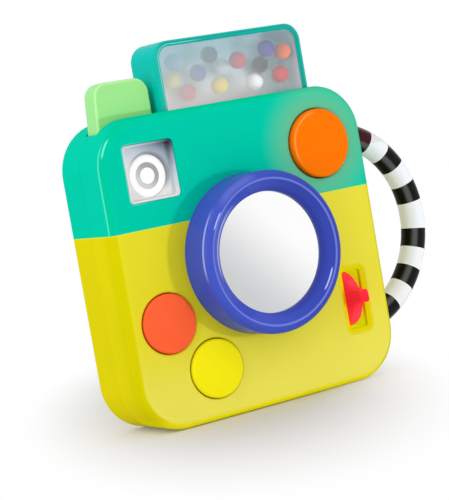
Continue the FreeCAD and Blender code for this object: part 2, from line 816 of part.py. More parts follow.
def front_lower_shell():
    """The lower front quarter, with two button holes, the lever slot and board posts."""
    body = shell_blank("lower", "front")
    front_bosses(body, "lower")
    handle_socket(body, "front_lower", HANDLE_LOW_Z, FRONT_INSIDE)
    lens_openings(body, "lower")
    button_opening(body, "coral")
    button_opening(body, "yellow")
    posts = facing(body, BOARD_FRONT, "board_posts_outline")
    for x, z in BOARD_POSTS:
        circle(posts, x, z, "dim.post_radius")
    feature(body, "Pad", posts, "board_posts", Length=f"{BOARD_FRONT} - {FRONT_INSIDE}")
    pilots = facing(body, f"({BOARD_FRONT} - dim.board_screw_reach)", "board_pilots_outline")
    for x, z in BOARD_POSTS:
        circle(pilots, x, z, "dim.board_screw_radius + dim.thread_gap")
    pocket_through(body, pilots, "board_pilots", "dim.board_screw_reach + dim.overrun")
    slot = facing(body, f"({FRONT} - dim.overrun)", "lever_slot_outline")
    rectangle(slot, SLOT_LEFT, SLOT_RIGHT, SLOT_LOW, SLOT_HIGH, "dim.slot_corner")
    pocket_through(body, slot, "lever_slot", "dim.wall + 2 * dim.overrun")
    face_y = number(FRONT)
    left, right = number(SLOT_LEFT), number(SLOT_RIGHT)
    low, high = number(SLOT_LOW), number(SLOT_HIGH)

    def slot_rim(edge):
        middle = edge.BoundBox.Center
        inside = left - 1e-3 < middle.x < right + 1e-3 and low - 1e-3 < middle.z < high + 1e-3
        return at_depth(edge, face_y) and inside

    bevel = soften(body, "Chamfer", "dim.slot_bevel_wide", slot_rim, "lever_slot_bevel")
    bevel.ChamferType = "Two distances"
    bevel.setExpression("Size2", "dim.slot_bevel_deep")
    cut_from(body, HANDLE_TOOL, "front_lower_shell")


def rear_upper_shell():
    """The upper rear quarter, with the speaker's seat and grille and the tab's ledge."""
    body = shell_blank("upper", "rear")
    rear_bosses(body, "upper")
    handle_socket(body, "rear_upper", HANDLE_TOP_Z, REAR_INSIDE)
    top_openings(body, "rear_upper")
    seat = facing(body, REAR_INSIDE, "speaker_seat_outline")
    circle(seat, "0", SPEAKER_Z, "dim.speaker_radius + dim.fit_gap + dim.speaker_rib")
    circle(seat, "0", SPEAKER_Z, "dim.speaker_radius + dim.fit_gap")
    feature(body, "Pad", seat, "speaker_seat", Length="dim.speaker_deep")
    grille = facing(body, f"({REAR_INSIDE} - dim.overrun)", "speaker_grille_outline")
    circle(grille, "0", SPEAKER_Z, "dim.grille_hole_radius")
    for ring, holes in ((1, 6), (2, 12)):
        for hole in range(holes):
            angle = hole * FULL_TURN / holes
            x = f"{ring} * dim.grille_pitch * cos({angle} deg)"
            z = f"{SPEAKER_Z} + {ring} * dim.grille_pitch * sin({angle} deg)"
            circle(grille, x, z, "dim.grille_hole_radius")
    pocket_through(body, grille, "speaker_grille", "dim.wall + 2 * dim.overrun")
    middle = f"({TAB_LEFT} + {TAB_RIGHT}) / 2"
    ledge = facing(body, REAR_INSIDE, "spring_ledge_outline")
    rectangle(
        ledge,
        f"{middle} - dim.ledge_wide / 2",
        f"{middle} + dim.ledge_wide / 2",
        f"{LEDGE_TOP} - dim.ledge_thick",
        LEDGE_TOP,
    )
    feature(body, "Pad", ledge, "spring_ledge", Length=f"{REAR_INSIDE} + dim.ledge_front")
    posts = facing(body, REAR_INSIDE, "switch_board_posts_outline")
    for x, z in SWITCH_BOARD_POSTS:
        circle(posts, x, z, "dim.post_radius")
    length = f"{REAR_INSIDE} - {BOARD_BACK}"
    feature(body, "Pad", posts, "switch_board_posts", Length=length)
    cut_from(body, HANDLE_TOOL, "rear_upper_shell")


LEDGE_TOP = f"({TAB_LOW} - dim.tab_spring_long)"
SWITCH_BOARD_POSTS = [
    (f"{BUTTONS['orange']['x']} + {side} * dim.switch_post_spread", BUTTONS["orange"]["z"])
    for side in (-1, 1)
]


def rear_lower_shell():
    """The lower rear quarter, with the battery box and the power switch's slot."""
    body = shell_blank("lower", "rear")
    rear_bosses(body, "lower")
    handle_socket(body, "rear_lower", HANDLE_LOW_Z, REAR_INSIDE)
    box = facing(body, REAR_INSIDE, "cell_box_outline")
    wall = "dim.cell_box_wall"
    rectangle(
        box,
        f"-{CELL_ROOM_X} - {wall}",
        f"{CELL_ROOM_X} + {wall}",
        f"{CELL_ROOM_LOW} - {wall}",
        f"{CELL_ROOM_HIGH} + {wall}",
    )
    feature(body, "Pad", box, "cell_box", Length=f"{REAR_INSIDE} - {CELL_BOX_FRONT}")
    boss = facing(body, REAR_INSIDE, "door_boss_outline")
    circle(boss, "0", DOOR_SCREW_Z, "dim.door_boss_radius")
    boss_long = "dim.door_screw_reach + dim.overrun"
    feature(body, "Pad", boss, "door_boss", Length=boss_long)
    posts = facing(body, REAR_INSIDE, "switch_posts_outline")
    for side in ("-", "+"):
        circle(posts, f"{SWITCH_X} {side} {SWITCH_POST_X}", SWITCH_Z, "dim.switch_post_radius")
    feature(body, "Pad", posts, "switch_posts", Length=f"{REAR_INSIDE} - {SWITCH_EAR_BACK}")
    room = facing(body, CELL_ROOM_FRONT, "cell_room_outline")
    rectangle(room, f"-{CELL_ROOM_X}", CELL_ROOM_X, CELL_ROOM_LOW, CELL_ROOM_HIGH)
    pocket_through(body, room, "cell_room", "dim.body_deep")
    recess = facing(body, DOOR_SEAT, "door_recess_outline")
    gap = "dim.move_gap"
    rectangle(
        recess,
        f"-{DOOR_X} - {gap}",
        f"{DOOR_X} + {gap}",
        f"{DOOR_LOW} - {gap}",
        f"{DOOR_HIGH} + {gap}",
        "dim.door_corner + dim.move_gap",
    )
    pocket_through(body, recess, "door_recess", "dim.door_thick + dim.overrun")
    pilot = facing(body, f"({DOOR_SEAT} - dim.door_screw_reach)", "door_pilot_outline")
    circle(pilot, "0", DOOR_SCREW_Z, "dim.door_screw_radius + dim.thread_gap")
    pocket_through(body, pilot, "door_pilot", "dim.door_screw_reach + dim.overrun")
    slot = facing(body, f"({REAR_INSIDE} - dim.overrun)", "switch_slot_outline")
    reach = "(dim.knob_wide / 2 + dim.slider_travel + dim.move_gap)"
    tall = "(dim.knob_tall / 2 + dim.move_gap)"
    rectangle(
        slot,
        f"{SWITCH_X} - {reach}",
        f"{SWITCH_X} + {reach}",
        f"{SWITCH_Z} - {tall}",
        f"{SWITCH_Z} + {tall}",
    )
    pocket_through(body, slot, "switch_slot", "dim.wall + 2 * dim.overrun")
    cut_from(body, HANDLE_TOOL, "rear_lower_shell")


SLIDER_FLANGE_BACK = f"({REAR_INSIDE} - dim.move_gap)"
SLIDER_FLANGE_FRONT = f"({SLIDER_FLANGE_BACK} - dim.slider_flange_thick)"
SWITCH_CASE_BACK = f"({SLIDER_FLANGE_FRONT} - dim.rest_gap)"
SWITCH_CASE_FRONT = f"({SWITCH_CASE_BACK} - dim.switch_case_deep)"
SWITCH_EAR_BACK = f"({SWITCH_CASE_FRONT} + dim.switch_ear_thick)"


# Lens ring, mirror, carrier and the ring's screws
def lens_ring():
    """The proud ring with its rounded crest and the lip that holds the mirror."""
    body = new_body("lens_ring_body", ("0", FRONT, LENS_UP))
    lip = "-(dim.mirror_window_proud - dim.lip_thick)"
    corners = [
        (RING_BORE, "0"),
        (RING_RADIUS, "0"),
        (RING_RADIUS, "-dim.ring_proud", "dim.ring_shoulder_round"),
        (f"{RING_RADIUS} - dim.crest_inward", "-dim.ring_proud", "dim.crest_inner_round"),
        ("dim.mirror_window_radius", "-dim.mirror_window_proud"),
        ("dim.mirror_window_radius", lip),
        (RING_BORE, lip),
    ]
    turned(body, corners, "lens_ring_turned")
    pilots = facing(body, "-dim.ring_screw_reach", "ring_pilots_outline")
    for turn in range(RING_SCREW_COUNT):
        angle = FIRST_RING_SCREW + turn * FULL_TURN / RING_SCREW_COUNT
        x = f"{RING_SCREW_CIRCLE} * cos({angle} deg)"
        z = f"{RING_SCREW_CIRCLE} * sin({angle} deg)"
        circle(pilots, x, z, "dim.screw_radius + dim.thread_gap")
    pocket_through(body, pilots, "ring_pilots", "dim.ring_screw_reach + dim.overrun")
    keep(body, "lens_ring")


MIRROR_FACE = "(-dim.mirror_window_proud + dim.lip_thick + dim.flush_gap)"
MIRROR_BACK = f"({MIRROR_FACE} + dim.mirror_thick)"
CARRIER_FACE = f"({MIRROR_BACK} + dim.flush_gap)"
CARRIER_INSIDE = f"({CARRIER_FACE} + dim.carrier_plate)"


def lens_mirror():
    """The flat unbreakable mirror behind the ring's lip."""
    body = new_body("lens_mirror_body", ("0", FRONT, LENS_UP))
    corners = [
        ("0", MIRROR_FACE),
        (MIRROR_RADIUS, MIRROR_FACE),
        (MIRROR_RADIUS, MIRROR_BACK),
        ("0", MIRROR_BACK),
    ]
    turned(body, corners, "lens_mirror_turned")
    keep(body, "lens_mirror")


def mirror_carrier():
    """The cup that presses the mirror against the lip and plugs into the case."""
    body = new_body("mirror_carrier_body", ("0", FRONT, LENS_UP))
    inner = f"({SPIGOT} - dim.carrier_tube_wall)"
    corners = [
        ("0", CARRIER_FACE),
        (MIRROR_RADIUS, CARRIER_FACE),
        (MIRROR_RADIUS, CARRIER_INSIDE),
        (CARRIER_TUBE, CARRIER_INSIDE),
        (CARRIER_TUBE, "0"),
        (SPIGOT, "0"),
        (SPIGOT, "dim.wall"),
        (inner, "dim.wall"),
        (inner, CARRIER_INSIDE),
        ("0", CARRIER_INSIDE),
    ]
    turned(body, corners, "mirror_carrier_turned")
    keep(body, "mirror_carrier")


def screw(name, place, head_radius, head_tall, shank, reach, forward=True):
    """A pan-headed screw along Y, placed at the seat of its head and pointing forward."""
    body = new_body(name, place)
    side = "" if forward else "-"
    corners = [
        ("0", f"{side}({head_tall})"),
        (head_radius, f"{side}({head_tall})", f"({head_tall}) / 2"),
        (head_radius, "0"),
        (shank, "0"),
        (shank, f"{side}(-({reach}))"),
        ("0", f"{side}(-({reach}))"),
    ]
    turned(body, corners, f"{name}_turned")
    return body


def lens_ring_screws():
    """The screws that hold the lens ring from inside the case."""
    screws = []
    for half, places in RING_SCREWS.items():
        for i, (x, z) in enumerate(places):
            place = (x, f"{FRONT_INSIDE} + dim.flush_gap", z)
            reach = "dim.wall + dim.ring_screw_reach - dim.rest_gap"
            head = ("dim.ring_screw_head_radius", "dim.ring_screw_head_tall")
            made = screw(f"ring_screw_{half}_{i}", place, *head, "dim.screw_radius", reach)
            screws.append(made)
    grouped(screws, "lens_ring_screws")


# Push buttons and their silicone domes
BUTTON_FLANGE = "(dim.wall + dim.rest_gap)"
BUTTON_BACK = f"({BUTTON_FLANGE} + dim.flange_thick)"
STEM_END = f"(dim.body_deep / 2 - dim.board_front - dim.dome_tall - dim.rest_gap)"


def push_button(name):
    """A crowned cap with a skirt, a flange that keeps it in the case, and a stem."""
    place = BUTTONS[name]
    body = new_body(f"{name}_button_body", (place["x"], FRONT, place["z"]))
    radius, face = place["radius"], f"(-{place['proud']})"
    skirt = f"({radius} - dim.button_skirt)"
    flange = f"({radius} + dim.flange_wide)"
    under = f"({face} + dim.button_skin)"
    crown_side = f"({radius} - dim.button_edge_round)"
    corners = [
        ("0", f"{face} - dim.button_crown", "dome"),
        (crown_side, face),
        (radius, f"{face} + dim.button_edge_round"),
        (radius, BUTTON_FLANGE),
        (flange, BUTTON_FLANGE),
        (flange, BUTTON_BACK),
        (skirt, BUTTON_BACK),
        (skirt, under),
        ("dim.stem_radius", under),
        ("dim.stem_radius", STEM_END),
        ("0", STEM_END),
    ]
    turned(body, corners, f"{name}_button_turned")
    side_radius, shoulder = number(radius), number(f"{face} + dim.button_edge_round")
    crown_radius, face_y = number(crown_side), number(face)

    def shoulder_edge(edge):
        outer = is_circle(edge, side_radius) and at_depth(edge, shoulder)
        return outer or (is_circle(edge, crown_radius) and at_depth(edge, face_y))

    soften(body, "Fillet", "dim.button_edge_round * dim.edge_round_share", shoulder_edge, f"{name}_shoulder")
    keep(body, f"{name}_button")


def button_dome(name):
    """The hollow silicone dome on the board that pushes the button back out."""
    place = BUTTONS[name]
    body = new_body(f"{name}_dome_body", (place["x"], BOARD_FRONT, place["z"]))
    skin = "dim.dome_skin"
    corners = [
        ("0", "-dim.dome_tall"),
        ("dim.dome_top_radius", "-dim.dome_tall"),
        ("dim.dome_radius", "0"),
        (f"dim.dome_radius - {skin}", "0"),
        (f"dim.dome_top_radius - {skin}", f"-dim.dome_tall + {skin}"),
        ("0", f"-dim.dome_tall + {skin}"),
    ]
    turned(body, corners, f"{name}_dome_turned")
    keep(body, f"{name}_dome")


# Circuit boards
def circuit_board():
    """The main board on its four posts, under the coral and yellow buttons."""
    body = new_body("circuit_board_body")
    plate = facing(body, BOARD_BACK, "board_outline")
    rectangle(plate, BOARD_LEFT, BOARD_RIGHT, "dim.board_low", BOARD_TOP, "dim.board_corner")
    feature(body, "Pad", plate, "board_plate", Length="dim.board_thick")
    holes = facing(body, f"({BOARD_FRONT} - dim.overrun)", "board_holes_outline")
    for x, z in BOARD_POSTS:
        circle(holes, x, z, "dim.board_screw_radius + dim.fit_gap")
    pocket_through(body, holes, "board_holes", "dim.board_thick + 2 * dim.overrun")
    keep(body, "circuit_board")


def board_screws():
    """The small screws that hold the main board to its posts."""
    screws = []
    for i, (x, z) in enumerate(BOARD_POSTS):
        place = (x, f"{BOARD_BACK} + dim.flush_gap", z)
        head = ("dim.board_screw_head_radius", "dim.board_screw_head_tall")
        reach = "dim.board_thick + dim.board_screw_reach - dim.rest_gap"
        screws.append(screw(f"board_screw_{i}", place, *head, "dim.board_screw_radius", reach))
    grouped(screws, "board_screws")


def sound_chip():
    """The moulded chip on the back of the main board."""
    body = new_body("sound_chip_body")
    middle_x = f"({BOARD_LEFT} + {BOARD_RIGHT}) / 2"
    middle_z = f"(dim.board_low + {BOARD_TOP}) / 2"
    half = "dim.chip_wide / 2"
    plate = facing(body, f"({BOARD_BACK} + dim.chip_thick)", "chip_outline")
    rectangle(
        plate,
        f"{middle_x} - {half}",
        f"{middle_x} + {half}",
        f"{middle_z} - {half}",
        f"{middle_z} + {half}",
    )
    feature(body, "Pad", plate, "chip_block", Length="dim.chip_thick - dim.flush_gap")
    keep(body, "sound_chip")


def switch_board():
    """The small round board under the orange button, on two long posts."""
    place = BUTTONS["orange"]
    body = new_body("switch_board_body")
    plate = facing(body, f"({BOARD_BACK} - dim.flush_gap)", "switch_board_outline")
    circle(plate, place["x"], place["z"], "dim.switch_board_radius")
    length = "dim.board_thick - dim.flush_gap"
    feature(body, "Pad", plate, "switch_board_plate", Length=length)
    keep(body, "switch_board")


# Flash window
PANEL_FRONT = f"({FRONT} + dim.tray_deep)"
PANEL_BACK = f"({PANEL_FRONT} + dim.panel_thick)"
LED_BOARD_FRONT = BOARD_FRONT
LENS_BACKING = f"({PANEL_FRONT} + dim.flash_lens_recess + dim.flash_lens_thick)"


def flash_panel():
    """The silvery tray set in the window, with the lens hole and posts for its board."""
    body = new_body("flash_panel_body")
    plate = facing(body, PANEL_BACK, "flash_panel_outline")
    flash_square(plate, "-dim.panel_margin")
    length = f"{PANEL_BACK} - {FRONT_INSIDE} - dim.flush_gap"
    feature(body, "Pad", plate, "flash_panel_plate", Length=length)
    rim = facing(body, PANEL_FRONT, "flash_tray_rim_outline")
    flash_square(rim, "dim.fit_gap")
    feature(body, "Pad", rim, "flash_tray_rim", Length="dim.tray_deep - dim.tray_sunk")
    room = facing(body, f"({FRONT} - dim.overrun)", "flash_tray_room_outline")
    flash_square(room, "(dim.fit_gap + dim.tray_wall)")
    pocket_through(body, room, "flash_tray_room", "dim.tray_deep + dim.overrun")
    posts = facing(body, LED_BOARD_FRONT, "flash_posts_outline")
    for side in ("-", "+"):
        x = f"{FLASH_X} {side} dim.led_post_spread"
        circle(posts, x, FLASH_LENS_Z, "dim.led_post_radius")
    feature(body, "Pad", posts, "flash_posts", Length=f"{LED_BOARD_FRONT} - {PANEL_BACK}")
    hole = facing(body, f"({PANEL_FRONT} - dim.overrun)", "flash_lens_hole_outline")
    circle(hole, FLASH_X, FLASH_LENS_Z, "dim.flash_lens_radius + dim.flush_gap")
    pocket_through(body, hole, "flash_lens_hole", "dim.panel_thick + 2 * dim.overrun")
    keep(body, "flash_panel")


FLASH_LENS_Z = f"({FLASH_Z} - dim.flash_lens_drop)"


def flash_lens():
    """The white round diffuser sunk in the tray, with a ring groove round its middle."""
    body = new_body("flash_lens_body", (FLASH_X, LENS_BACKING, FLASH_LENS_Z))
    face = "(-dim.flash_lens_thick)"
    skirt = f"({PANEL_BACK} - {LENS_BACKING})"
    sunk = f"({face} + dim.flash_ring_sunk)"
    bore = "dim.led_radius + dim.fit_gap"
    corners = [
        ("0", face),
        ("dim.flash_core_radius", face),
        ("dim.flash_core_radius", sunk),
        ("dim.flash_ring_radius", sunk),
        ("dim.flash_ring_radius", face),
        ("dim.flash_lens_radius", face, "dim.flash_lens_round"),
        ("dim.flash_lens_radius", skirt),
        (bore, skirt),
        (bore, "0"),
        ("0", "0"),
    ]
    turned(body, corners, "flash_lens_turned")
    keep(body, "flash_lens")


def flash_ring():
    """The grey ring laid in the diffuser's groove."""
    body = new_body("flash_ring_body", (FLASH_X, LENS_BACKING, FLASH_LENS_Z))
    back = "(-dim.flash_lens_thick + dim.flash_ring_sunk - dim.flush_gap)"
    front = f"({back} - dim.flash_ring_thick)"
    inner = "dim.flash_core_radius + dim.flush_gap"
    outer = "dim.flash_ring_radius - dim.flush_gap"
    turned(body, [(inner, front), (outer, front), (outer, back), (inner, back)], "flash_ring_turned")
    keep(body, "flash_ring")


def flash_led():
    """The white lamp behind the diffuser, standing on its small board."""
    body = new_body("flash_led_body", (FLASH_X, LED_BOARD_FRONT, FLASH_LENS_Z))
    tip = f"({LENS_BACKING} - {LED_BOARD_FRONT} + dim.rest_gap)"
    corners = [
        ("0", tip),
        ("dim.led_radius", tip, "dim.led_radius * dim.led_tip_share"),
        ("dim.led_radius", "-dim.led_collar_thick"),
        ("dim.led_collar_radius", "-dim.led_collar_thick"),
        ("dim.led_collar_radius", "-dim.flush_gap"),
        ("0", "-dim.flush_gap"),
    ]
    turned(body, corners, "flash_led_turned")
    keep(body, "flash_led")


def led_board():
    """The small board that carries the flash lamp."""
    body = new_body("led_board_body")
    back = f"({LED_BOARD_FRONT} + dim.led_board_thick)"
    plate = facing(body, back, "led_board_outline")
    rectangle(
        plate,
        f"{FLASH_X} - dim.led_board_wide / 2",
        f"{FLASH_X} + dim.led_board_wide / 2",
        f"{FLASH_LENS_Z} - dim.led_board_tall / 2",
        f"{FLASH_LENS_Z} + dim.led_board_tall / 2",
    )
    feature(body, "Pad", plate, "led_board_plate", Length="dim.led_board_thick - dim.flush_gap")
    keep(body, "led_board")


# Rattle box
WINDOW_FRONT = f"({BOX_FRONT} + dim.window_sunk)"
WINDOW_BACK = f"({WINDOW_FRONT} + dim.window_thick)"
BOX_ROOM_BACK = f"({BOX_BACK} - dim.box_back_wall)"


def box_outline(sketch, inset):
    """The front view of the rattle box, drawn in by a rim."""
    top_round = f"dim.box_top_round - {inset}"
    low_round = "dim.box_low_round"
    outline(
        sketch,
        [
            (f"{BOX_LEFT} + {inset}", f"{BOX_LOW} + {inset}", low_round),
            (f"{BOX_RIGHT} - {inset}", f"{BOX_LOW} + {inset}", low_round),
            (f"{BOX_RIGHT} - {inset}", f"{BOX_TOP} - {inset}", top_round),
            (f"{BOX_LEFT} + {inset}", f"{BOX_TOP} - {inset}", top_round),
        ],
    )


def rattle_housing():
    """The tray of the rattle box, open to the front, with a flange under the case's top."""
    body = new_body("rattle_housing_body")
    block = facing(body, BOX_BACK, "housing_outline")
    box_outline(block, "0")
    feature(body, "Pad", block, "housing_block", Length=f"{BOX_BACK} - {BOX_FRONT}")
    front_y, back_y = number(BOX_FRONT), number(BOX_BACK)

    def face_edge(edge):
        return at_depth(edge, front_y) or at_depth(edge, back_y)

    soften(body, "Fillet", "dim.box_edge_round", face_edge, "housing_edge_round")
    flange_top = f"({TOP} - dim.wall - dim.box_flange_drop)"
    flange = new_sketch(body, "XY_Plane", f"({flange_top} - dim.box_flange_thick)", "flange_outline")
    wide = "dim.box_flange_wide"
    rectangle(
        flange,
        f"{BOX_LEFT} - {wide}",
        f"{BOX_RIGHT} + {wide}",
        f"{BOX_FRONT} - {wide}",
        f"{BOX_BACK} + {wide}",
    )
    feature(body, "Pad", flange, "housing_flange", Length="dim.box_flange_thick")
    room = facing(body, f"({BOX_FRONT} - 2 * dim.box_flange_wide)", "housing_room_outline")
    box_outline(room, "dim.box_rim")
    depth = f"{BOX_ROOM_BACK} - {BOX_FRONT} + 2 * dim.box_flange_wide"
    feature(body, "Pocket", room, "housing_room", Length=depth)
    keep(body, "rattle_housing")


def rattle_window():
    """The frosted window, let into the housing's rim."""
    body = new_body("rattle_window_body")
    plate = facing(body, WINDOW_BACK, "window_outline")
    box_outline(plate, "(dim.box_rim + dim.flush_gap)")
    feature(body, "Pad", plate, "window_plate", Length="dim.window_thick")
    keep(body, "rattle_window")


# Beads as (across, up, back) shares of the room behind the window
BEAD_PLACE_SHARES = {
    "bead_grey": [(0.129, 0.886, 0.36)],
    "bead_black": [(0.417, 0.914, 0.35), (0.851, 0.665, 0.77)],
    "bead_purple": [(0.319, 0.688, 0.50), (0.849, 0.876, 0.02)],
    "bead_yellow": [(0.151, 0.644, 0.96), (0.437, 0.460, 0.12)],
    "bead_red": [(0.247, 0.435, 0.88), (0.604, 0.772, 0.02), (0.934, 0.483, 0.06)],
    "bead_white": [(0.555, 0.725, 0.98), (0.714, 0.432, 0.05)],
    "bead_orange": [(0.990, 0.803, 0.10)],
}


def beads(name, places):
    """The loose beads of one colour."""
    made = []
    slack = "(dim.bead_radius + dim.fit_gap)"
    left = f"({BOX_LEFT} + dim.box_rim + {slack})"
    right = f"({BOX_RIGHT} - dim.box_rim - {slack})"
    low = f"({BOX_LOW} + dim.box_rim + {slack})"
    high = f"({BOX_TOP} - dim.box_rim - {slack})"
    front = f"({WINDOW_BACK} + {slack})"
    back = f"({BOX_ROOM_BACK} - {slack})"
    for i, (across, up, deep) in enumerate(places):
        ball = doc.addObject("Part::Sphere", f"{name}_{i}")
        ball.setExpression("Radius", "dim.bead_radius")
        ball.setExpression("Placement.Base.x", f"{left} + {across} * ({right} - {left})")
        ball.setExpression("Placement.Base.y", f"{front} + {deep} * ({back} - {front})")
        ball.setExpression("Placement.Base.z", f"{low} + {up} * ({high} - {low})")
        made.append(ball)
    grouped(made, name)


# Shutter tab and its spring
TAB_TOP = f"({TOP} + dim.tab_above)"
TAB_MIDDLE = f"(({TAB_LEFT} + {TAB_RIGHT}) / 2)"


def shutter_button():
    """The tab with its rounded head, hollow below, and the flange that keeps it in."""
    body = new_body("shutter_button_body")
    lean = f"({SIDE} * dim.tab_lean_share)"
    head = facing(body, TAB_HALF, "tab_outline")
    outline(
        head,
        [
            (TAB_LEFT, TAB_LOW),
            (TAB_RIGHT, TAB_LOW),
            (TAB_RIGHT, TAB_TOP, "dim.tab_top_round"),
            (f"{TAB_LEFT} + {lean}", TAB_TOP, "dim.tab_top_round"),
        ],
    )
    feature(body, "Pad", head, "tab_block", Length="dim.tab_thick")
    half, low = number(TAB_HALF), number(TAB_LOW)

    def face_edge(edge):
        on_face = at_depth(edge, half) or at_depth(edge, -half)
        return on_face and not at_height(edge, low)

    soften(body, "Fillet", "dim.tab_edge_round", face_edge, "tab_edge_round")
    flange = new_sketch(body, "XY_Plane", TAB_LOW, "tab_flange_outline")
    wide = "dim.tab_flange_wide"
    rectangle(
        flange,
        f"{TAB_LEFT} - {wide} / 2",
        f"{TAB_RIGHT} + {wide}",
        f"-{TAB_HALF} - {wide}",
        f"{TAB_HALF} + {wide}",
    )
    feature(body, "Pad", flange, "tab_flange", Length="dim.tab_flange_thick")
    hollow = new_sketch(body, "XY_Plane", f"({TAB_LOW} + dim.tab_below)", "tab_hollow_outline")
    thin = "dim.tab_hollow_wall"
    rectangle(
        hollow,
        f"{TAB_LEFT} + {thin}",
        f"{TAB_RIGHT} - {thin}",
        f"-{TAB_HALF} + {thin}",
        f"{TAB_HALF} - {thin}",
    )
    feature(body, "Pocket", hollow, "tab_hollow", Length="dim.tab_below + dim.overrun")
    stop = new_sketch(body, "XY_Plane", TAB_LOW, "tab_spring_plate_outline")
    plate = "(dim.tab_spring_radius + dim.fit_gap)"
    rectangle(
        stop,
        f"{TAB_MIDDLE} - {plate}",
        f"{TAB_MIDDLE} + {plate}",
        f"-{TAB_HALF} + {thin} / 2",
        f"{TAB_HALF} - {thin} / 2",
    )
    feature(body, "Pad", stop, "tab_spring_plate", Length="dim.tab_flange_thick")
    keep(body, "shutter_button")


def shutter_spring():
    """The return spring under the tab, as a sleeve of its own size."""
    body = new_body("shutter_spring_body", (TAB_MIDDLE, "0", f"{LEDGE_TOP} + dim.flush_gap"))
    ring = new_sketch(body, "XY_Plane", "0", "tab_spring_outline")
    circle(ring, "0", "0", "dim.tab_spring_radius")
    circle(ring, "0", "0", "dim.tab_spring_radius - dim.tab_spring_wire")
    length = "dim.tab_spring_long - 2 * dim.flush_gap"
    feature(body, "Pad", ring, "tab_spring_sleeve", Length=length)
    keep(body, "shutter_spring")


# Click lever
def click_lever():
    """The notched wheel with the knob that a finger flicks up and down."""
    body = new_body("click_lever_body", (f"{SLOT_X} - dim.lever_aside", LEVER_Y, SLOT_Z))
    half = "dim.lever_thick / 2"
    wheel = new_sketch(body, "YZ_Plane", f"-({half})", "lever_wheel_outline")
    circle(wheel, "0", "0", "dim.lever_radius")
    feature(body, "Pad", wheel, "lever_wheel", Length="dim.lever_thick")
    arm = new_sketch(body, "YZ_Plane", f"-({half})", "lever_knob_outline")
    sides = [
        (KNOB_NECK, "-dim.knob_neck_half_wide"),
        (KNOB_NECK, "dim.knob_neck_half_wide"),
        (KNOB_WAIST, "dim.knob_half_wide", "dim.neck_round"),
        (KNOB_REACH, "dim.knob_half_wide", "dim.knob_round"),
        (KNOB_REACH, "-dim.knob_half_wide", "dim.knob_round"),
        (KNOB_WAIST, "-dim.knob_half_wide", "dim.neck_round"),
    ]
    rise = f"(dim.knob_rise / {KNOB_REACH})"
    run = f"sqrt(1 - {rise}^2)"
    outline(
        arm,
        [
            (f"{z} * {rise} - {reach} * {run}", f"{z} * {run} + {reach} * {rise}", *rest)
            for reach, z, *rest in sides
        ],
    )
    feature(body, "Pad", arm, "lever_knob", Length="dim.lever_thick")
    side = number(half)

    def face_edge(edge):
        return all(near(abs(v.X), side) for v in edge.Vertexes)

    soften(body, "Fillet", "dim.lever_edge_round", face_edge, "lever_edge_round")
    hubs = new_sketch(body, "YZ_Plane", HUB_LEFT, "lever_hubs_outline")
    circle(hubs, "0", "0", "dim.lever_hub_radius")
    feature(body, "Pad", hubs, "lever_hubs", Length=f"dim.slot_wide - 2 * dim.rest_gap")
    notches = new_sketch(body, "YZ_Plane", f"{half} + dim.overrun", "lever_notches_outline")
    for i in range(int(number("dim.notch_count"))):
        angle = f"({i} - (dim.notch_count - 1) / 2) * {NOTCH_STEP}"
        y = f"dim.lever_radius * cos(({angle}) * 1 deg)"
        z = f"dim.lever_radius * sin(({angle}) * 1 deg)"
        circle(notches, y, "0" if near(number(z), 0) else z, "dim.notch_radius")
    length = "dim.lever_thick + 2 * dim.overrun"
    feature(body, "Pocket", notches, "lever_notches", Length=length)
    bore = new_sketch(body, "YZ_Plane", "dim.slot_wide", "lever_bore_outline")
    circle(bore, "0", "0", "dim.pin_radius + dim.pin_gap")
    feature(body, "Pocket", bore, "lever_bore", Length="2 * dim.slot_wide")
    keep(body, "click_lever")


HUB_LEFT = "(-dim.slot_wide / 2 + dim.rest_gap + dim.lever_aside)"
NOTCH_STEP = 15


def lever_well():
    """The closed well behind the slot, whose side walls carry the lever's pin."""
    body = new_body("lever_well_body")
    wall = "dim.well_wall"
    block = facing(body, f"{WELL_BACK} + {wall}", "well_outline")
    rectangle(
        block,
        f"{SLOT_LEFT} - {wall}",
        f"{SLOT_RIGHT} + {wall}",
        f"{SLOT_LOW} - {wall}",
        f"{SLOT_HIGH} + {wall}",
        "dim.slot_corner",
    )
    length = f"{WELL_DEEP} + {wall} - dim.flush_gap"
    feature(body, "Pad", block, "well_block", Length=length)
    room = facing(body, FRONT_INSIDE, "well_room_outline")
    rectangle(room, SLOT_LEFT, SLOT_RIGHT, SLOT_LOW, SLOT_HIGH, "dim.slot_corner")
    feature(body, "Pocket", room, "well_room", Length=WELL_DEEP)
    bore = new_sketch(body, "YZ_Plane", f"{SLOT_RIGHT} + dim.overrun * 2", "well_bore_outline")
    circle(bore, LEVER_Y, SLOT_Z, "dim.pin_radius + dim.flush_gap")
    feature(body, "Pocket", bore, "well_bore", Length="dim.slot_wide + 4 * dim.overrun")
    keep(body, "lever_well")


def lever_pin():
    """The steel pin the lever turns on, held in the well's side walls."""
    pin = doc.addObject("Part::Cylinder", "lever_pin_rod")
    pin.setExpression("Radius", "dim.pin_radius")
    pin.setExpression("Height", "dim.slot_wide + 2 * dim.well_wall")
    pin.Placement.Rotation = FreeCAD.Rotation(FreeCAD.Vector(0, 1, 0), 90)
    pin.setExpression("Placement.Base.x", f"{SLOT_LEFT} - dim.well_wall")
    pin.setExpression("Placement.Base.y", LEVER_Y)
    pin.setExpression("Placement.Base.z", SLOT_Z)
    keep(pin, "lever_pin")


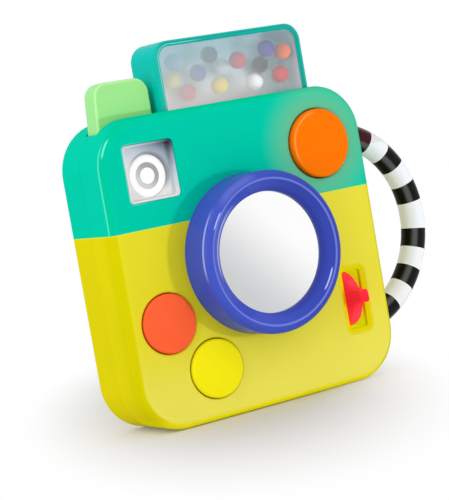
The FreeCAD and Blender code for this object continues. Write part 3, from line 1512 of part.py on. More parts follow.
def click_spring():
    """The leaf that clicks over the lever's notches, on a foot at the back of the well."""
    body = new_body("click_spring_body")
    leaf = new_sketch(body, "YZ_Plane", f"{SLOT_X} - dim.leaf_wide / 2", "leaf_outline")
    back = f"({WELL_BACK} - dim.flush_gap)"
    face = f"({LEVER_Y} + dim.lever_radius + dim.rest_gap)"
    foot_low = f"({SLOT_HIGH} - dim.fit_gap - dim.leaf_foot)"
    high = f"({SLOT_HIGH} - dim.fit_gap)"
    tip = f"({SLOT_HIGH} - 2 * {SLOT_HALF} * dim.leaf_drop_share)"
    outline(
        leaf,
        [
            (face, tip),
            (f"{face} + dim.leaf_thick", tip),
            (f"{face} + dim.leaf_thick", foot_low),
            (back, foot_low),
            (back, high),
            (face, high),
        ],
    )
    feature(body, "Pad", leaf, "leaf_strip", Length="dim.leaf_wide")
    keep(body, "click_spring")


# Ring handle
def handle_ring():
    """The half ring to hold the toy by, with a flange at each end inside the case."""
    body = new_body("handle_ring_body", (HANDLE_X, "0", HANDLE_Z))
    section = new_sketch(body, "XY_Plane", "0", "handle_section")
    circle(section, "dim.handle_radius", "0", "dim.handle_tube")
    tube = body.newObject("PartDesign::Revolution", "handle_tube_sweep")
    tube.Profile = section
    tube.ReferenceAxis = (section, ["V_Axis"])
    tube.Midplane = True
    tube.Angle = 180
    flanges = new_sketch(body, "YZ_Plane", "dim.handle_end", "handle_flange_outline")
    for side in ("-", ""):
        circle(flanges, "0", f"{side}dim.handle_radius", "dim.handle_flange_radius")
    feature(body, "Pad", flanges, "handle_flanges", Length="dim.handle_flange_thick")
    keep(body, "handle_ring")


# Speaker
def speaker():
    """The small loudspeaker's basket and magnet, open to the grille."""
    body = new_body("speaker_body", ("0", f"{REAR_INSIDE} - dim.flush_gap", SPEAKER_Z))
    deep = "(-dim.speaker_deep)"
    inner = "dim.speaker_radius - dim.speaker_lip"
    corners = [
        (inner, "0"),
        ("dim.speaker_radius", "0"),
        ("dim.speaker_radius", deep),
        ("dim.magnet_radius", deep),
        ("dim.magnet_radius", f"{deep} - dim.magnet_deep"),
        ("0", f"{deep} - dim.magnet_deep"),
        ("0", f"{deep} + dim.speaker_lip"),
        (inner, f"{deep} + dim.speaker_lip"),
    ]
    turned(body, corners, "speaker_turned")
    keep(body, "speaker")


def speaker_cone():
    """The speaker's shallow cone, glued to its basket."""
    body = new_body("speaker_cone_body", ("0", f"{REAR_INSIDE} - dim.flush_gap", SPEAKER_Z))
    rim = "dim.speaker_radius - dim.speaker_lip - dim.flush_gap"
    deep = "(-dim.speaker_deep + dim.speaker_lip + dim.flush_gap)"
    corners = [
        ("0", deep),
        (rim, "-2 * dim.cone_skin"),
        (rim, "-dim.cone_skin"),
        ("0", f"{deep} + dim.cone_skin"),
    ]
    turned(body, corners, "speaker_cone_turned")
    keep(body, "speaker_cone")


# Batteries and contacts
CELL_COUNT = 3
CELL_REACH = "(dim.cell_long / 2 + dim.contact_room - dim.contact_thick - dim.fit_gap)"


def cell_sides():
    """Each cell's height and the side its positive end points to, in turn."""
    for i in range(CELL_COUNT):
        yield i, f"dim.cell_low_inset + {i} * dim.cell_pitch", "-" if i % 2 else ""


def batteries():
    """The cells, laid head to tail."""
    cells = []
    for i, z, side in cell_sides():
        body = new_body(f"cell_{i}", ("0", CELL_Y, z))
        profile = new_sketch(body, "XY_Plane", "0", f"cell_{i}_profile")
        nub = f"{side}{CELL_REACH}"
        shoulder = f"{side}({CELL_REACH} - dim.cell_nub_long)"
        flat = f"{side}({CELL_REACH} - dim.cell_long)"
        outline(
            profile,
            [
                (nub, "0"),
                (nub, "dim.cell_nub_radius"),
                (shoulder, "dim.cell_nub_radius"),
                (shoulder, "dim.cell_radius"),
                (flat, "dim.cell_radius"),
                (flat, "0"),
            ],
        )
        made = body.newObject("PartDesign::Revolution", f"cell_{i}_turned")
        made.Profile = profile
        made.ReferenceAxis = (profile, ["H_Axis"])
        made.Angle = 360
        cells.append(body)
    grouped(cells, "batteries")


def battery_contacts():
    """The metal plates at both ends of the battery box."""
    plates = []
    for i, side in enumerate(("-", "")):
        plate = doc.addObject("Part::Box", f"contact_plate_{i}")
        inner = f"({CELL_ROOM_X} - dim.contact_thick - dim.flush_gap)"
        left = inner if side == "" else f"(-{CELL_ROOM_X} + dim.flush_gap)"
        low = f"({CELL_ROOM_LOW} + dim.flush_gap)"
        front = f"({CELL_ROOM_FRONT} + dim.flush_gap)"
        plate.setExpression("Length", "dim.contact_thick")
        plate.setExpression("Width", "2 * dim.cell_radius")
        plate.setExpression("Height", f"{CELL_ROOM_HIGH} - {low} - dim.flush_gap")
        plate.setExpression("Placement.Base.x", left)
        plate.setExpression("Placement.Base.y", front)
        plate.setExpression("Placement.Base.z", low)
        plates.append(plate)
    grouped(plates, "battery_contacts")


def battery_springs():
    """The tapered springs behind each cell's flat end, as hollow cones of their size."""
    springs = []
    for i, z, side in cell_sides():
        body = new_body(f"cell_spring_{i}", ("0", CELL_Y, z))
        profile = new_sketch(body, "XY_Plane", "0", f"cell_spring_{i}_profile")
        seat = f"{side}(-({CELL_ROOM_X} - dim.contact_thick - 2 * dim.flush_gap))"
        tip = f"{side}({CELL_REACH} - dim.cell_long - dim.flush_gap)"
        skin = "dim.contact_spring_skin"
        outline(
            profile,
            [
                (seat, "dim.contact_spring_radius"),
                (tip, "dim.contact_spring_tip"),
                (tip, f"dim.contact_spring_tip - {skin}"),
                (seat, f"dim.contact_spring_radius - {skin}"),
            ],
        )
        made = body.newObject("PartDesign::Revolution", f"cell_spring_{i}_turned")
        made.Profile = profile
        made.ReferenceAxis = (profile, ["H_Axis"])
        made.Angle = 360
        springs.append(body)
    grouped(springs, "battery_springs")


def battery_door():
    """The door let into the back, with the sunk seat of its screw."""
    body = new_body("battery_door_body")
    plate = facing(body, REAR, "door_outline")
    rectangle(plate, f"-{DOOR_X}", DOOR_X, DOOR_LOW, DOOR_HIGH, "dim.door_corner")
    feature(body, "Pad", plate, "door_plate", Length="dim.door_thick")
    hole = facing(body, f"({DOOR_SEAT} - dim.overrun)", "door_hole_outline")
    circle(hole, "0", DOOR_SCREW_Z, "dim.door_screw_radius + dim.fit_gap")
    pocket_through(body, hole, "door_hole", "dim.door_thick + 3 * dim.overrun")
    sunk = facing(body, DOOR_SCREW_SEAT, "door_screw_seat_outline")
    circle(sunk, "0", DOOR_SCREW_Z, "dim.door_screw_head_radius + dim.fit_gap")
    pocket_through(body, sunk, "door_screw_seat", "dim.door_thick + dim.overrun")
    keep(body, "battery_door")


DOOR_SCREW_SEAT = f"({REAR} - dim.door_screw_head_tall - dim.fit_gap)"


def battery_door_screw():
    """The captive screw of the battery door."""
    place = ("0", f"{DOOR_SCREW_SEAT} + dim.flush_gap", DOOR_SCREW_Z)
    reach = f"{DOOR_SCREW_SEAT} - {DOOR_SEAT} + dim.door_screw_reach - dim.rest_gap"
    head = ("dim.door_screw_head_radius", "dim.door_screw_head_tall - dim.flush_gap")
    made = screw("door_screw", place, *head, "dim.door_screw_radius", reach)
    keep(made, "battery_door_screw")


def shell_screws():
    """The eight screws that close the case from behind."""
    screws = []
    for half, places in BOSSES.items():
        for i, (x, z) in enumerate(places):
            place = (x, f"{REAR} - dim.screw_sunk + dim.flush_gap", z)
            head = ("dim.screw_head_radius", "dim.screw_head_tall")
            reach = f"{REAR} - dim.screw_sunk - {PARTING} + dim.screw_reach - dim.rest_gap"
            made = screw(f"shell_screw_{half}_{i}", place, *head, "dim.screw_radius", reach)
            screws.append(made)
    grouped(screws, "shell_screws")


# Power switch
def power_switch_slider():
    """The sliding knob of the power switch and the flange that keeps it in."""
    body = new_body("power_switch_slider_body")
    back = f"({REAR} - dim.slider_sunk)"
    knob = facing(body, back, "slider_knob_outline")
    rectangle(
        knob,
        f"{SWITCH_X} - dim.knob_wide / 2",
        f"{SWITCH_X} + dim.knob_wide / 2",
        f"{SWITCH_Z} - dim.knob_tall / 2",
        f"{SWITCH_Z} + dim.knob_tall / 2",
        "dim.knob_edge_round",
    )
    feature(body, "Pad", knob, "slider_knob", Length=f"{back} - {SLIDER_FLANGE_FRONT}")
    flange = facing(body, SLIDER_FLANGE_BACK, "slider_flange_outline")
    rectangle(
        flange,
        f"{SWITCH_X} - dim.slider_flange_wide / 2",
        f"{SWITCH_X} + dim.slider_flange_wide / 2",
        f"{SWITCH_Z} - dim.slider_flange_tall / 2",
        f"{SWITCH_Z} + dim.slider_flange_tall / 2",
    )
    feature(body, "Pad", flange, "slider_flange", Length="dim.slider_flange_thick")
    keep(body, "power_switch_slider")


def power_switch_body():
    """The switch itself, on two posts of the rear shell."""
    body = new_body("power_switch_case_body")
    case = facing(body, SWITCH_CASE_BACK, "switch_case_outline")
    rectangle(
        case,
        f"{SWITCH_X} - dim.switch_case_wide / 2",
        f"{SWITCH_X} + dim.switch_case_wide / 2",
        f"{SWITCH_Z} - dim.slider_flange_tall / 2",
        f"{SWITCH_Z} + dim.slider_flange_tall / 2",
    )
    feature(body, "Pad", case, "switch_case", Length="dim.switch_case_deep")
    ears = facing(body, f"({SWITCH_EAR_BACK} - dim.flush_gap)", "switch_ears_outline")
    rectangle(
        ears,
        f"{SWITCH_X} - dim.switch_ear_wide / 2",
        f"{SWITCH_X} + dim.switch_ear_wide / 2",
        f"{SWITCH_Z} - dim.switch_post_radius",
        f"{SWITCH_Z} + dim.switch_post_radius",
    )
    length = "dim.switch_ear_thick - dim.flush_gap"
    feature(body, "Pad", ears, "switch_ears", Length=length)
    keep(body, "power_switch_body")


front_upper_shell()
front_lower_shell()
rear_upper_shell()
rear_lower_shell()
lens_ring()
lens_mirror()
mirror_carrier()
lens_ring_screws()
for button_name in BUTTONS:
    push_button(button_name)
    button_dome(button_name)
circuit_board()
board_screws()
sound_chip()
switch_board()
flash_panel()
flash_lens()
flash_ring()
flash_led()
led_board()
rattle_housing()
rattle_window()
for bead_name, bead_places in BEAD_PLACE_SHARES.items():
    beads(bead_name, bead_places)
shutter_button()
shutter_spring()
click_lever()
lever_well()
lever_pin()
click_spring()
handle_ring()
speaker()
speaker_cone()
batteries()
battery_contacts()
battery_springs()
battery_door()
battery_door_screw()
shell_screws()
power_switch_slider()
power_switch_body()
doc.recompute()

# Checks before anything is written
for made in doc.Objects:
    if "Invalid" in made.State or "Error" in made.State:
        raise RuntimeError(f"{made.Label} could not be made: {made.State}")
    if made.TypeId == "PartDesign::Pocket":
        removed = made.BaseFeature.Shape.Volume - made.Shape.Volume
        if removed < 1e-3:
            raise RuntimeError(f"{made.Label} cuts nothing")
for made in nodes:
    if made.Shape.isNull() or not made.Shape.isValid():
        raise RuntimeError(f"{made.Label} has no valid shape")

os.makedirs("parts", exist_ok=True)
for made in nodes:
    made.Shape.exportStep(f"parts/{made.Label}.step")
    print(made.Label, len(made.Shape.Solids), round(made.Shape.Volume, 1))
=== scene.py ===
import math

import bmesh
import bpy
from mathutils import Matrix, Vector


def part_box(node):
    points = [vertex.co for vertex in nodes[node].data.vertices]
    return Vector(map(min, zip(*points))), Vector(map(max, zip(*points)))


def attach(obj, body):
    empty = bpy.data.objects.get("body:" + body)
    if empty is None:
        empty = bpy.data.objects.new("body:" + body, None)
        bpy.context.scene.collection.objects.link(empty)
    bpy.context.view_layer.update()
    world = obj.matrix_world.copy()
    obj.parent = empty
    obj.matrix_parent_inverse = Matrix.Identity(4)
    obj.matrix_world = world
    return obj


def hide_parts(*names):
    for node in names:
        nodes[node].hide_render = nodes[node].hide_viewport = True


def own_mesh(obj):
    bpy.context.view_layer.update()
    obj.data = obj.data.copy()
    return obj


# A toy camera on a plain pale floor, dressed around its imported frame. Metres.

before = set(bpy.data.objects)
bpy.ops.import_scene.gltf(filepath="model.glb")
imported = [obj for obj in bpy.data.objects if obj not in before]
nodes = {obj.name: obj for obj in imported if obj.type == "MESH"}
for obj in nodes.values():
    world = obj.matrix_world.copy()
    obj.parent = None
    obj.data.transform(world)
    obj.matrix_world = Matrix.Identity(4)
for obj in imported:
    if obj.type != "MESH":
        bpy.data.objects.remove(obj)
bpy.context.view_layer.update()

MM = 0.001


# Camera: the photograph's view, found from the outline of the case
IMAGE_HEIGHT_PX = 500
FOCAL_PX = 1825.67
SENSOR_MM = 36.0
YAW_DEG, PITCH_DEG, ROLL_DEG = 31.74, 4.22, -9.84
CAMERA_PLACE_MM = (-394.0, -631.2, 119.2)
CLIP_START, CLIP_END = 0.01, 20


def add_camera():
    """The camera at the photograph's viewing angle."""
    yaw, pitch, roll = (math.radians(a) for a in (YAW_DEG, PITCH_DEG, ROLL_DEG))
    forward = Vector(
        (math.sin(yaw) * math.cos(pitch), math.cos(yaw) * math.cos(pitch), -math.sin(pitch))
    )
    level = Vector((math.cos(yaw), -math.sin(yaw), 0))
    above = level.cross(forward)
    right = math.cos(roll) * level + math.sin(roll) * above
    up = -math.sin(roll) * level + math.cos(roll) * above
    data = bpy.data.cameras.new("photo_camera")
    data.sensor_width = SENSOR_MM
    data.lens = FOCAL_PX * SENSOR_MM / IMAGE_HEIGHT_PX
    data.clip_start = CLIP_START
    data.clip_end = CLIP_END
    camera = bpy.data.objects.new("photo_camera", data)
    turn = Matrix((right, up, -forward)).transposed().to_4x4()
    camera.matrix_world = Matrix.Translation(Vector(CAMERA_PLACE_MM) * MM) @ turn
    bpy.context.scene.collection.objects.link(camera)
    bpy.context.scene.camera = camera


def srgb(red, green, blue):
    """A linear colour from its 8-bit screen values."""
    levels = [c / 255 for c in (red, green, blue)]
    linear = [c / 12.92 if c <= 0.04045 else ((c + 0.055) / 1.055) ** 2.4 for c in levels]
    return (*linear, 1)


NOISE_SPAN = (0.3, 0.7)


class Nodes:
    """A short way to build a node tree."""

    def __init__(self, tree):
        self.tree = tree

    def add(self, kind, values=None, **props):
        """Add a node, set its properties and its inputs, which may be other sockets."""
        node = self.tree.nodes.new(f"ShaderNode{kind}")
        for name, value in props.items():
            setattr(node, name, value)
        for name, value in (values or {}).items():
            socket = node.inputs[name]
            if isinstance(value, bpy.types.NodeSocket):
                self.tree.links.new(value, socket)
            else:
                socket.default_value = value
        return node

    def show(self, shader, out):
        """Lead a shader to the output node."""
        self.tree.links.new(shader.outputs[0], out.inputs["Surface"])

    def calc(self, operation, first, second=0.0):
        """One step of arithmetic."""
        return self.add("Math", {0: first, 1: second}, operation=operation).outputs[0]

    def both(self, *factors):
        """The product of several factors."""
        product = factors[0]
        for factor in factors[1:]:
            product = self.calc("MULTIPLY", product, factor)
        return product

    def fade(self, value, low, high, at_low=0.0, at_high=1.0):
        """A smooth change from at_low to at_high between two values of an input."""
        values = {"Value": value, "From Min": low, "From Max": high}
        values.update({"To Min": at_low, "To Max": at_high})
        return self.add("MapRange", values, interpolation_type="SMOOTHSTEP").outputs["Result"]

    def band(self, value, low, high, soft=0.00015):
        """One between two values of an input and nothing outside them."""
        rise = self.fade(value, low - soft, low)
        return self.calc("MULTIPLY", rise, self.fade(value, high, high + soft, 1.0, 0.0))

    def length(self, side, rise):
        """The length of a flat vector."""
        squares = [self.calc("MULTIPLY", part, part) for part in (side, rise)]
        return self.calc("SQRT", self.calc("ADD", *squares))

    def along(self, across, up, weights):
        """How far a point lies along a slanting direction, given by its two weights."""
        side = self.calc("MULTIPLY", across, weights[0])
        return self.calc("ADD", side, self.calc("MULTIPLY", up, weights[1]))

    def apart(self, across, up, centre):
        """How far a point lies across and up from a place in millimetres."""
        side = self.calc("SUBTRACT", across, centre[0] * MM)
        return side, self.calc("SUBTRACT", up, centre[1] * MM)

    def reach(self, across, up, centre):
        """The distance from an axis along Y, whose place is in millimetres."""
        return self.length(*self.apart(across, up, centre))

    def beyond(self, across, up, centre, half_wide, half_tall, corner=1.2):
        """How far a point lies outside a rounded upright rectangle, sized in millimetres."""
        side, rise = (self.calc("ABSOLUTE", part) for part in self.apart(across, up, centre))
        side = self.calc("SUBTRACT", side, (half_wide - corner) * MM)
        rise = self.calc("SUBTRACT", rise, (half_tall - corner) * MM)
        inside = self.calc("MINIMUM", self.calc("MAXIMUM", side, rise), 0.0)
        outside = self.length(*(self.calc("MAXIMUM", part, 0.0) for part in (side, rise)))
        return self.calc("SUBTRACT", self.calc("ADD", outside, inside), corner * MM)

    def mix(self, factor, first, second):
        """A blend of two colours."""
        node = self.add("Mix", {0: factor, 6: first, 7: second}, data_type="RGBA")
        return node.outputs[2]

    def ramp(self, factor, stops, interpolation="LINEAR"):
        """A colour ramp through (position, colour) stops."""
        node = self.add("ValToRGB", {"Fac": factor})
        node.color_ramp.interpolation = interpolation
        elements = node.color_ramp.elements
        for i, (position, colour) in enumerate(stops):
            element = elements[i] if i < 2 else elements.new(position)
            element.position = position
            element.color = colour
        return node.outputs["Color"]

    def place(self):
        """Object coordinates, whole and as three numbers: across, deep and up."""
        whole = self.add("TexCoord").outputs["Object"]
        parts = self.add("SeparateXYZ", {0: whole})
        return whole, parts.outputs[0], parts.outputs[1], parts.outputs[2]

    def noise(self, grain, vector):
        """A noise pattern in object space, whose grain is its scale and detail."""
        values = {"Scale": grain[0], "Detail": grain[1], "Vector": vector}
        return self.add("TexNoise", values).outputs["Fac"]

    def patchy(self, grain, vector, low, high):
        """A value that wanders between two limits."""
        return self.fade(self.noise(grain, vector), *NOISE_SPAN, low, high)

    def bump(self, height, strength, distance=1.0):
        """A surface direction disturbed by a height."""
        values = {"Height": height, "Strength": strength, "Distance": distance}
        return self.add("Bump", values).outputs["Normal"]


def new_material(name):
    """An empty material with its output and a node builder."""
    material = bpy.data.materials.new(name)
    material.use_nodes = True
    material.node_tree.nodes.clear()
    build = Nodes(material.node_tree)
    out = build.add("OutputMaterial")
    return material, build, out


TONE_GRAIN, SMUDGE_GRAIN, PEEL_GRAIN = (16, 3), (55, 4), (1500, 2)
PEEL_HEIGHT = 0.00002
PLASTIC_GLOSS = {"Specular_IOR_Level": 0.02, "Coat_Weight": 0.06, "Coat_Roughness": 0.06}
RELIEF_STRENGTH = 0.5


def plastic(name, colour, rough=0.24, tone=0.025, peel=0.05, relief=None, **constants):
    """Moulded plastic: slightly uneven colour, orange-peel surface and smudged gloss.

    colour is a plain colour or a function that paints one from the place. relief is a
    function that gives a height in metres. constants are sockets of the shader.
    """
    material, build, out = new_material(name)
    place, across, deep, up = build.place()
    base = colour(build, across, deep, up) if callable(colour) else colour
    shade = build.patchy(TONE_GRAIN, place, 1 - tone, 1 + tone)
    base = build.add("HueSaturation", {"Value": shade, "Color": base}).outputs["Color"]
    smudge = build.noise(SMUDGE_GRAIN, place)
    smudge = build.fade(smudge, 0.35, 0.7, rough * 0.8, rough * 1.25)
    height = build.both(build.noise(PEEL_GRAIN, place), PEEL_HEIGHT)
    if relief:
        height = build.calc("ADD", height, relief(build, across, deep, up))
    normal = build.bump(height, RELIEF_STRENGTH if relief else peel)
    values = {"Base Color": base, "Roughness": smudge, "Normal": normal}
    shader = build.add("BsdfPrincipled", values)
    for socket, value in {**PLASTIC_GLOSS, **constants}.items():
        shader.inputs[socket.replace("_", " ")].default_value = value
    build.show(shader, out)
    return material


def dress(material, *names):
    """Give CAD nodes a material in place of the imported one."""
    for name in names:
        thing = nodes[name]
        thing.data.materials.clear()
        thing.data.materials.append(material)


# Places and sizes in millimetres, as in the part's source. A place is (across, up)
LENS = (0.0, 62.2)
ORANGE_PLACE = (39.75, 100.6)
FLASH_CENTRE = (-40.35, 100.5)
FLASH_OPENING = (-40.35, 101.95)
FLASH_HALF, FLASH_CORNER = 11.5, 2.0
HANDLE_CENTRE = (53.0, 62.0)
HANDLE_RADIUS, HANDLE_TUBE = 41.0, 5.3
SLOT_CENTRE = (45.4, 34.2)
SLOT_HALF_WIDE, SLOT_HALF_TALL = 4.6, 12.1
SEAM_HEIGHT = 80.2
FACE_DEPTH = -16.5


def middle_along(centre, weights):
    """How far a place in millimetres lies along a slanting direction."""
    return centre[0] * weights[0] + centre[1] * weights[1]


# Shells. What the paint functions read is in metres: across, deep (less is nearer) and up
SATIN = {"Specular_IOR_Level": 0.0, "Coat_Weight": 0.025}
TEAL = srgb(0, 199, 166)
YELLOW_SIDE = srgb(220, 207, 10)
GLOW_REACH, GLOW_SHARE = (0.0135, 0.029), 0.42
ROUNDING_DEPTHS = (-0.0161, -0.0138)
FLASH_RIM_HIGHLIGHT, FLASH_LEFT = (0.0, 0.0004), (-0.040, -0.052)
CASE_LEFT = (-0.054, -0.056)
EDGE_DEPTHS, EDGE_HEIGHTS = (-0.0143, -0.0139), (0.082, 0.111)
BEND_DEPTHS, BEND_HEIGHTS = (-0.0156, -0.0152), (0.1115, 0.1155)


def teal_front(build, across, deep, up):
    """Teal with painted light: a little darker on its rounding as shade, warmed round the
    orange button by a painted glow, and pale painted highlights where edges catch light.
    """
    # Painted shade: the rounding is a little darker than the flat face.
    rounding = build.band(deep, *ROUNDING_DEPTHS, 0.0003)
    base = build.mix(rounding, TEAL, srgb(0, 196, 154))
    # Painted glow: a warm tint round the orange button stands in for its light falling on the
    # shell.
    reach = build.reach(across, up, ORANGE_PLACE)
    glow = build.fade(reach, *GLOW_REACH, GLOW_SHARE, 0.0)
    base = build.mix(glow, base, srgb(150, 182, 120))
    opening = build.beyond(across, up, FLASH_OPENING, FLASH_HALF, FLASH_HALF, FLASH_CORNER)
    # Painted highlight: a pale line along the left of the flash opening's rim.
    rim_highlight = build.both(build.band(opening, *FLASH_RIM_HIGHLIGHT), build.fade(across, *FLASH_LEFT), 0.5)
    base = build.mix(rim_highlight, base, srgb(120, 226, 206))
    # Painted highlights: pale lines on the left rounding and round the top-left corner, where
    # the edges catch light.
    left = build.fade(across, *CASE_LEFT)
    upright = build.band(up, *EDGE_HEIGHTS, 0.006)
    edge = build.both(build.band(deep, *EDGE_DEPTHS), left, upright, 0.55)
    bend = build.band(up, *BEND_HEIGHTS, 0.002)
    corner = build.both(build.band(deep, *BEND_DEPTHS), left, bend, 0.7)
    return build.mix(build.calc("MAXIMUM", edge, corner), base, srgb(120, 246, 228))


def seam_lit(build, up, base):
    """A colour whose upper edge catches the light along the colour seam."""
    line = build.fade(up, (SEAM_HEIGHT - 0.45) * MM, (SEAM_HEIGHT - 0.3) * MM)
    return build.mix(build.both(line, 0.4), base, srgb(206, 240, 70))


CASE_SIDES, LOW_FACE, LOW_EDGE = (-0.06, 0.06), (0.045, 0.004), (0.008, 0.002)
FACE_TO_EDGE, EDGE_TO_SIDE = (-0.01645, -0.0161), (-0.0120, -0.0060)
SLOT_FRONT, SLOT_BORDER, SLOT_LINE = (-0.0153, -0.0155), (0.0, 0.0021), (0.0022, 0.0024)
SLOT_MOUTH, SLOT_MOUTH_DEPTHS = (0.00016, 0.00008), (-0.0164, -0.0162)


def yellow_front(build, across, deep, up):
    """Yellow, paler to the right and below, with painted light: a darker, purer shade on its
    rounding, a purer painted highlight on the slot's bevel with a painted shade line round it,
    and a greener mouth against the lever's red light.
    """
    face = build.mix(build.fade(across, *CASE_SIDES), srgb(226, 216, 40), srgb(230, 220, 64))
    face = build.mix(build.fade(up, *LOW_FACE, 0.0, 0.8), face, srgb(235, 226, 96))
    # Painted shade: the rounding is darker and purer than the flat face, and lighter again
    # along the bottom.
    edge = build.mix(build.fade(deep, *EDGE_TO_SIDE), srgb(214, 203, 2), YELLOW_SIDE)
    edge = build.mix(build.fade(up, *LOW_EDGE), edge, srgb(240, 230, 20))
    base = build.mix(build.fade(deep, *FACE_TO_EDGE), face, edge)
    beyond = build.beyond(across, up, SLOT_CENTRE, SLOT_HALF_WIDE, SLOT_HALF_TALL)
    front = build.fade(deep, *SLOT_FRONT)
    # Painted highlight: a purer yellow on the slot's bevel, where it catches light.
    border = build.both(build.band(beyond, *SLOT_BORDER), front, 0.8)
    base = build.mix(border, base, srgb(232, 222, 4))
    # Painted shade: a darker line just outside the bevel.
    line = build.both(build.band(beyond, *SLOT_LINE), front, 0.25)
    base = build.mix(line, base, srgb(186, 176, 4))
    # The slot's mouth is painted greener, against the red light that the lever throws on it.
    mouth = build.fade(beyond, *SLOT_MOUTH)
    mouth = build.both(mouth, build.fade(deep, *SLOT_MOUTH_DEPTHS))
    base = build.mix(mouth, base, srgb(208, 234, 6))
    return seam_lit(build, up, base)


def yellow_back(build, across, deep, up):
    """Plain yellow below the seam line."""
    return seam_lit(build, up, YELLOW_SIDE)


dress(plastic("teal_front", teal_front, **SATIN), "front_upper_shell")
dress(plastic("teal_back", TEAL, **SATIN), "rear_upper_shell")
dress(plastic("yellow_front", yellow_front, **SATIN), "front_lower_shell")
dress(plastic("yellow_back", yellow_back, **SATIN), "rear_lower_shell", "battery_door")


# Lens ring and mirror
BLUE_LEFT, BLUE_RIGHT = srgb(63, 82, 190), srgb(50, 68, 170)
MIRROR_SLANT = (0.72, 0.69)
# Spans on the ring, most with how softly they end: from the lens axis, across, deep and up
LIP_REACH = (0.0268, 0.0245)
CREST_REACH = (0.0289, 0.0293, 0.0004)
SHEEN_REACH, SHEEN_ACROSS = (0.0305, 0.0318, 0.0009), (-0.018, -0.008, 0.006)
WALL_DEPTHS, WALL_HEIGHTS = (-0.0303, -0.0297, 0.0003), (0.062, 0.077, 0.008)
UPPER_REACH, UPPER_HEIGHTS = (0.0297, 0.0300, 0.0002), (0.0765, 0.0810, 0.0012)
LOWER_REACH, LOWER_HEIGHTS = (0.0278, 0.0281, 0.0002), (0.0440, 0.0500, 0.0015)


def ring_blue(build, across, deep, up):
    """Deep blue, with painted light: painted shade beside the mirror, a painted highlight along
    the crest, and a painted sheen and gleams.
    """
    reach = build.reach(across, up, LENS)
    right, left = build.fade(across, -0.012, 0.012), build.fade(across, 0.004, -0.004)
    blue = build.mix(build.fade(across, -0.012, 0.020), BLUE_LEFT, BLUE_RIGHT)
    # Painted shade on the inner slope beside the mirror, on its right.
    lip_shade = build.both(build.fade(reach, *LIP_REACH), right, 0.55)
    base = build.mix(lip_shade, blue, srgb(38, 50, 138))
    # Painted highlight: a pale line round the crest.
    crest_highlight = build.both(build.band(reach, *CREST_REACH), 0.62)
    base = build.mix(crest_highlight, base, srgb(126, 140, 232))
    # Painted sheen: a soft highlight on the shoulder at the upper left.
    sheen = build.both(build.band(reach, *SHEEN_REACH), build.band(across, *SHEEN_ACROSS))
    sheen = build.both(sheen, 0.22, build.fade(up, 0.080, 0.086))
    base = build.mix(sheen, base, srgb(140, 148, 222))
    # Painted gleams: short highlight strokes on the outer wall and by the crest.
    wall = build.both(build.band(deep, *WALL_DEPTHS), build.band(up, *WALL_HEIGHTS), left, 0.6)
    upper = build.both(build.band(up, *UPPER_HEIGHTS), left, 0.85)
    upper = build.both(upper, build.band(reach, *UPPER_REACH))
    lower = build.both(build.band(up, *LOWER_HEIGHTS), right, 0.85)
    lower = build.both(lower, build.band(reach, *LOWER_REACH))
    gleam = build.calc("MAXIMUM", wall, build.calc("MAXIMUM", upper, lower))
    return build.mix(gleam, base, srgb(186, 200, 252))


def mirror_film(build, across, deep, up):
    """Silvered film, with a painted reflection that fades softly to grey towards its lower
    left.
    """
    middle = middle_along(LENS, MIRROR_SLANT)
    # Painted reflection: white at the upper right, grey at the lower left.
    slant = build.along(across, up, MIRROR_SLANT)
    share = build.fade(slant, (middle - 22) * MM, (middle + 15) * MM)
    return build.mix(share, srgb(206, 207, 209), srgb(253, 253, 253))


dress(plastic("ring_blue", ring_blue, rough=0.3, Coat_Weight=0.22), "lens_ring")
SILVERED = {"tone": 0.004, "peel": 0.01, "Metallic": 0.9, "Coat_Weight": 0.0}
dress(plastic("mirror_film", mirror_film, rough=0.1, **SILVERED), "lens_mirror")


# Flash window
TRAY_SLANT, TRAY_HALF = (0.6, 0.8), 16
TRAY_STOPS = [
    (0.0, srgb(232, 224, 224)),
    (0.45, srgb(228, 228, 228)),
    (0.66, srgb(204, 214, 222)),
    (0.86, srgb(150, 164, 178)),
    (1.0, srgb(44, 54, 68)),
]
GROOVE_SLANT = (0.7, 0.7)
LENS_SHADE_REACH = (0.0100, 0.0087)


def tray_silver(build, across, deep, up):
    """Silver paint with painted reflection and shade: warm at the lower left, dusky blue at the
    upper right, and a painted shade beside the lens there.
    """
    start = (middle_along(FLASH_CENTRE, TRAY_SLANT) - TRAY_HALF) * MM
    share = build.calc("SUBTRACT", build.along(across, up, TRAY_SLANT), start)
    share = build.calc("DIVIDE", share, 2 * TRAY_HALF * MM)
    # Painted reflection and shade: pale at the lower left, darkening to a dusky blue at the
    # upper right.
    floor = build.ramp(share, TRAY_STOPS)
    reach = build.reach(across, up, FLASH_CENTRE)
    # Painted shade: a dark arc beside the lens, on its upper right.
    shade = build.fade(reach, *LENS_SHADE_REACH)
    shade = build.both(shade, build.fade(share, 0.42, 0.62), 0.55)
    return build.mix(shade, floor, srgb(96, 96, 100))


def groove_grey(build, across, deep, up):
    """Grey, paler at the lower left."""
    middle = middle_along(FLASH_CENTRE, GROOVE_SLANT)
    slant = build.along(across, up, GROOVE_SLANT)
    share = build.fade(slant, (middle - 5) * MM, (middle + 4) * MM)
    return build.mix(share, srgb(214, 214, 213), srgb(168, 168, 168))


# Painted light: the white lens glows a little, though it is no lamp.
LENS_GLOW = {"Emission_Color": (1, 1, 1, 1), "Emission_Strength": 0.09}
dress(plastic("tray_silver", tray_silver, rough=0.3), "flash_panel")
dress(
    plastic("white_lens", srgb(252, 252, 251), rough=0.2, tone=0.004, **LENS_GLOW),
    "flash_lens",
)
dress(plastic("lamp_glow", srgb(254, 253, 250), rough=0.1, tone=0.005), "flash_led")
dress(plastic("groove_grey", groove_grey, rough=0.35), "flash_ring")


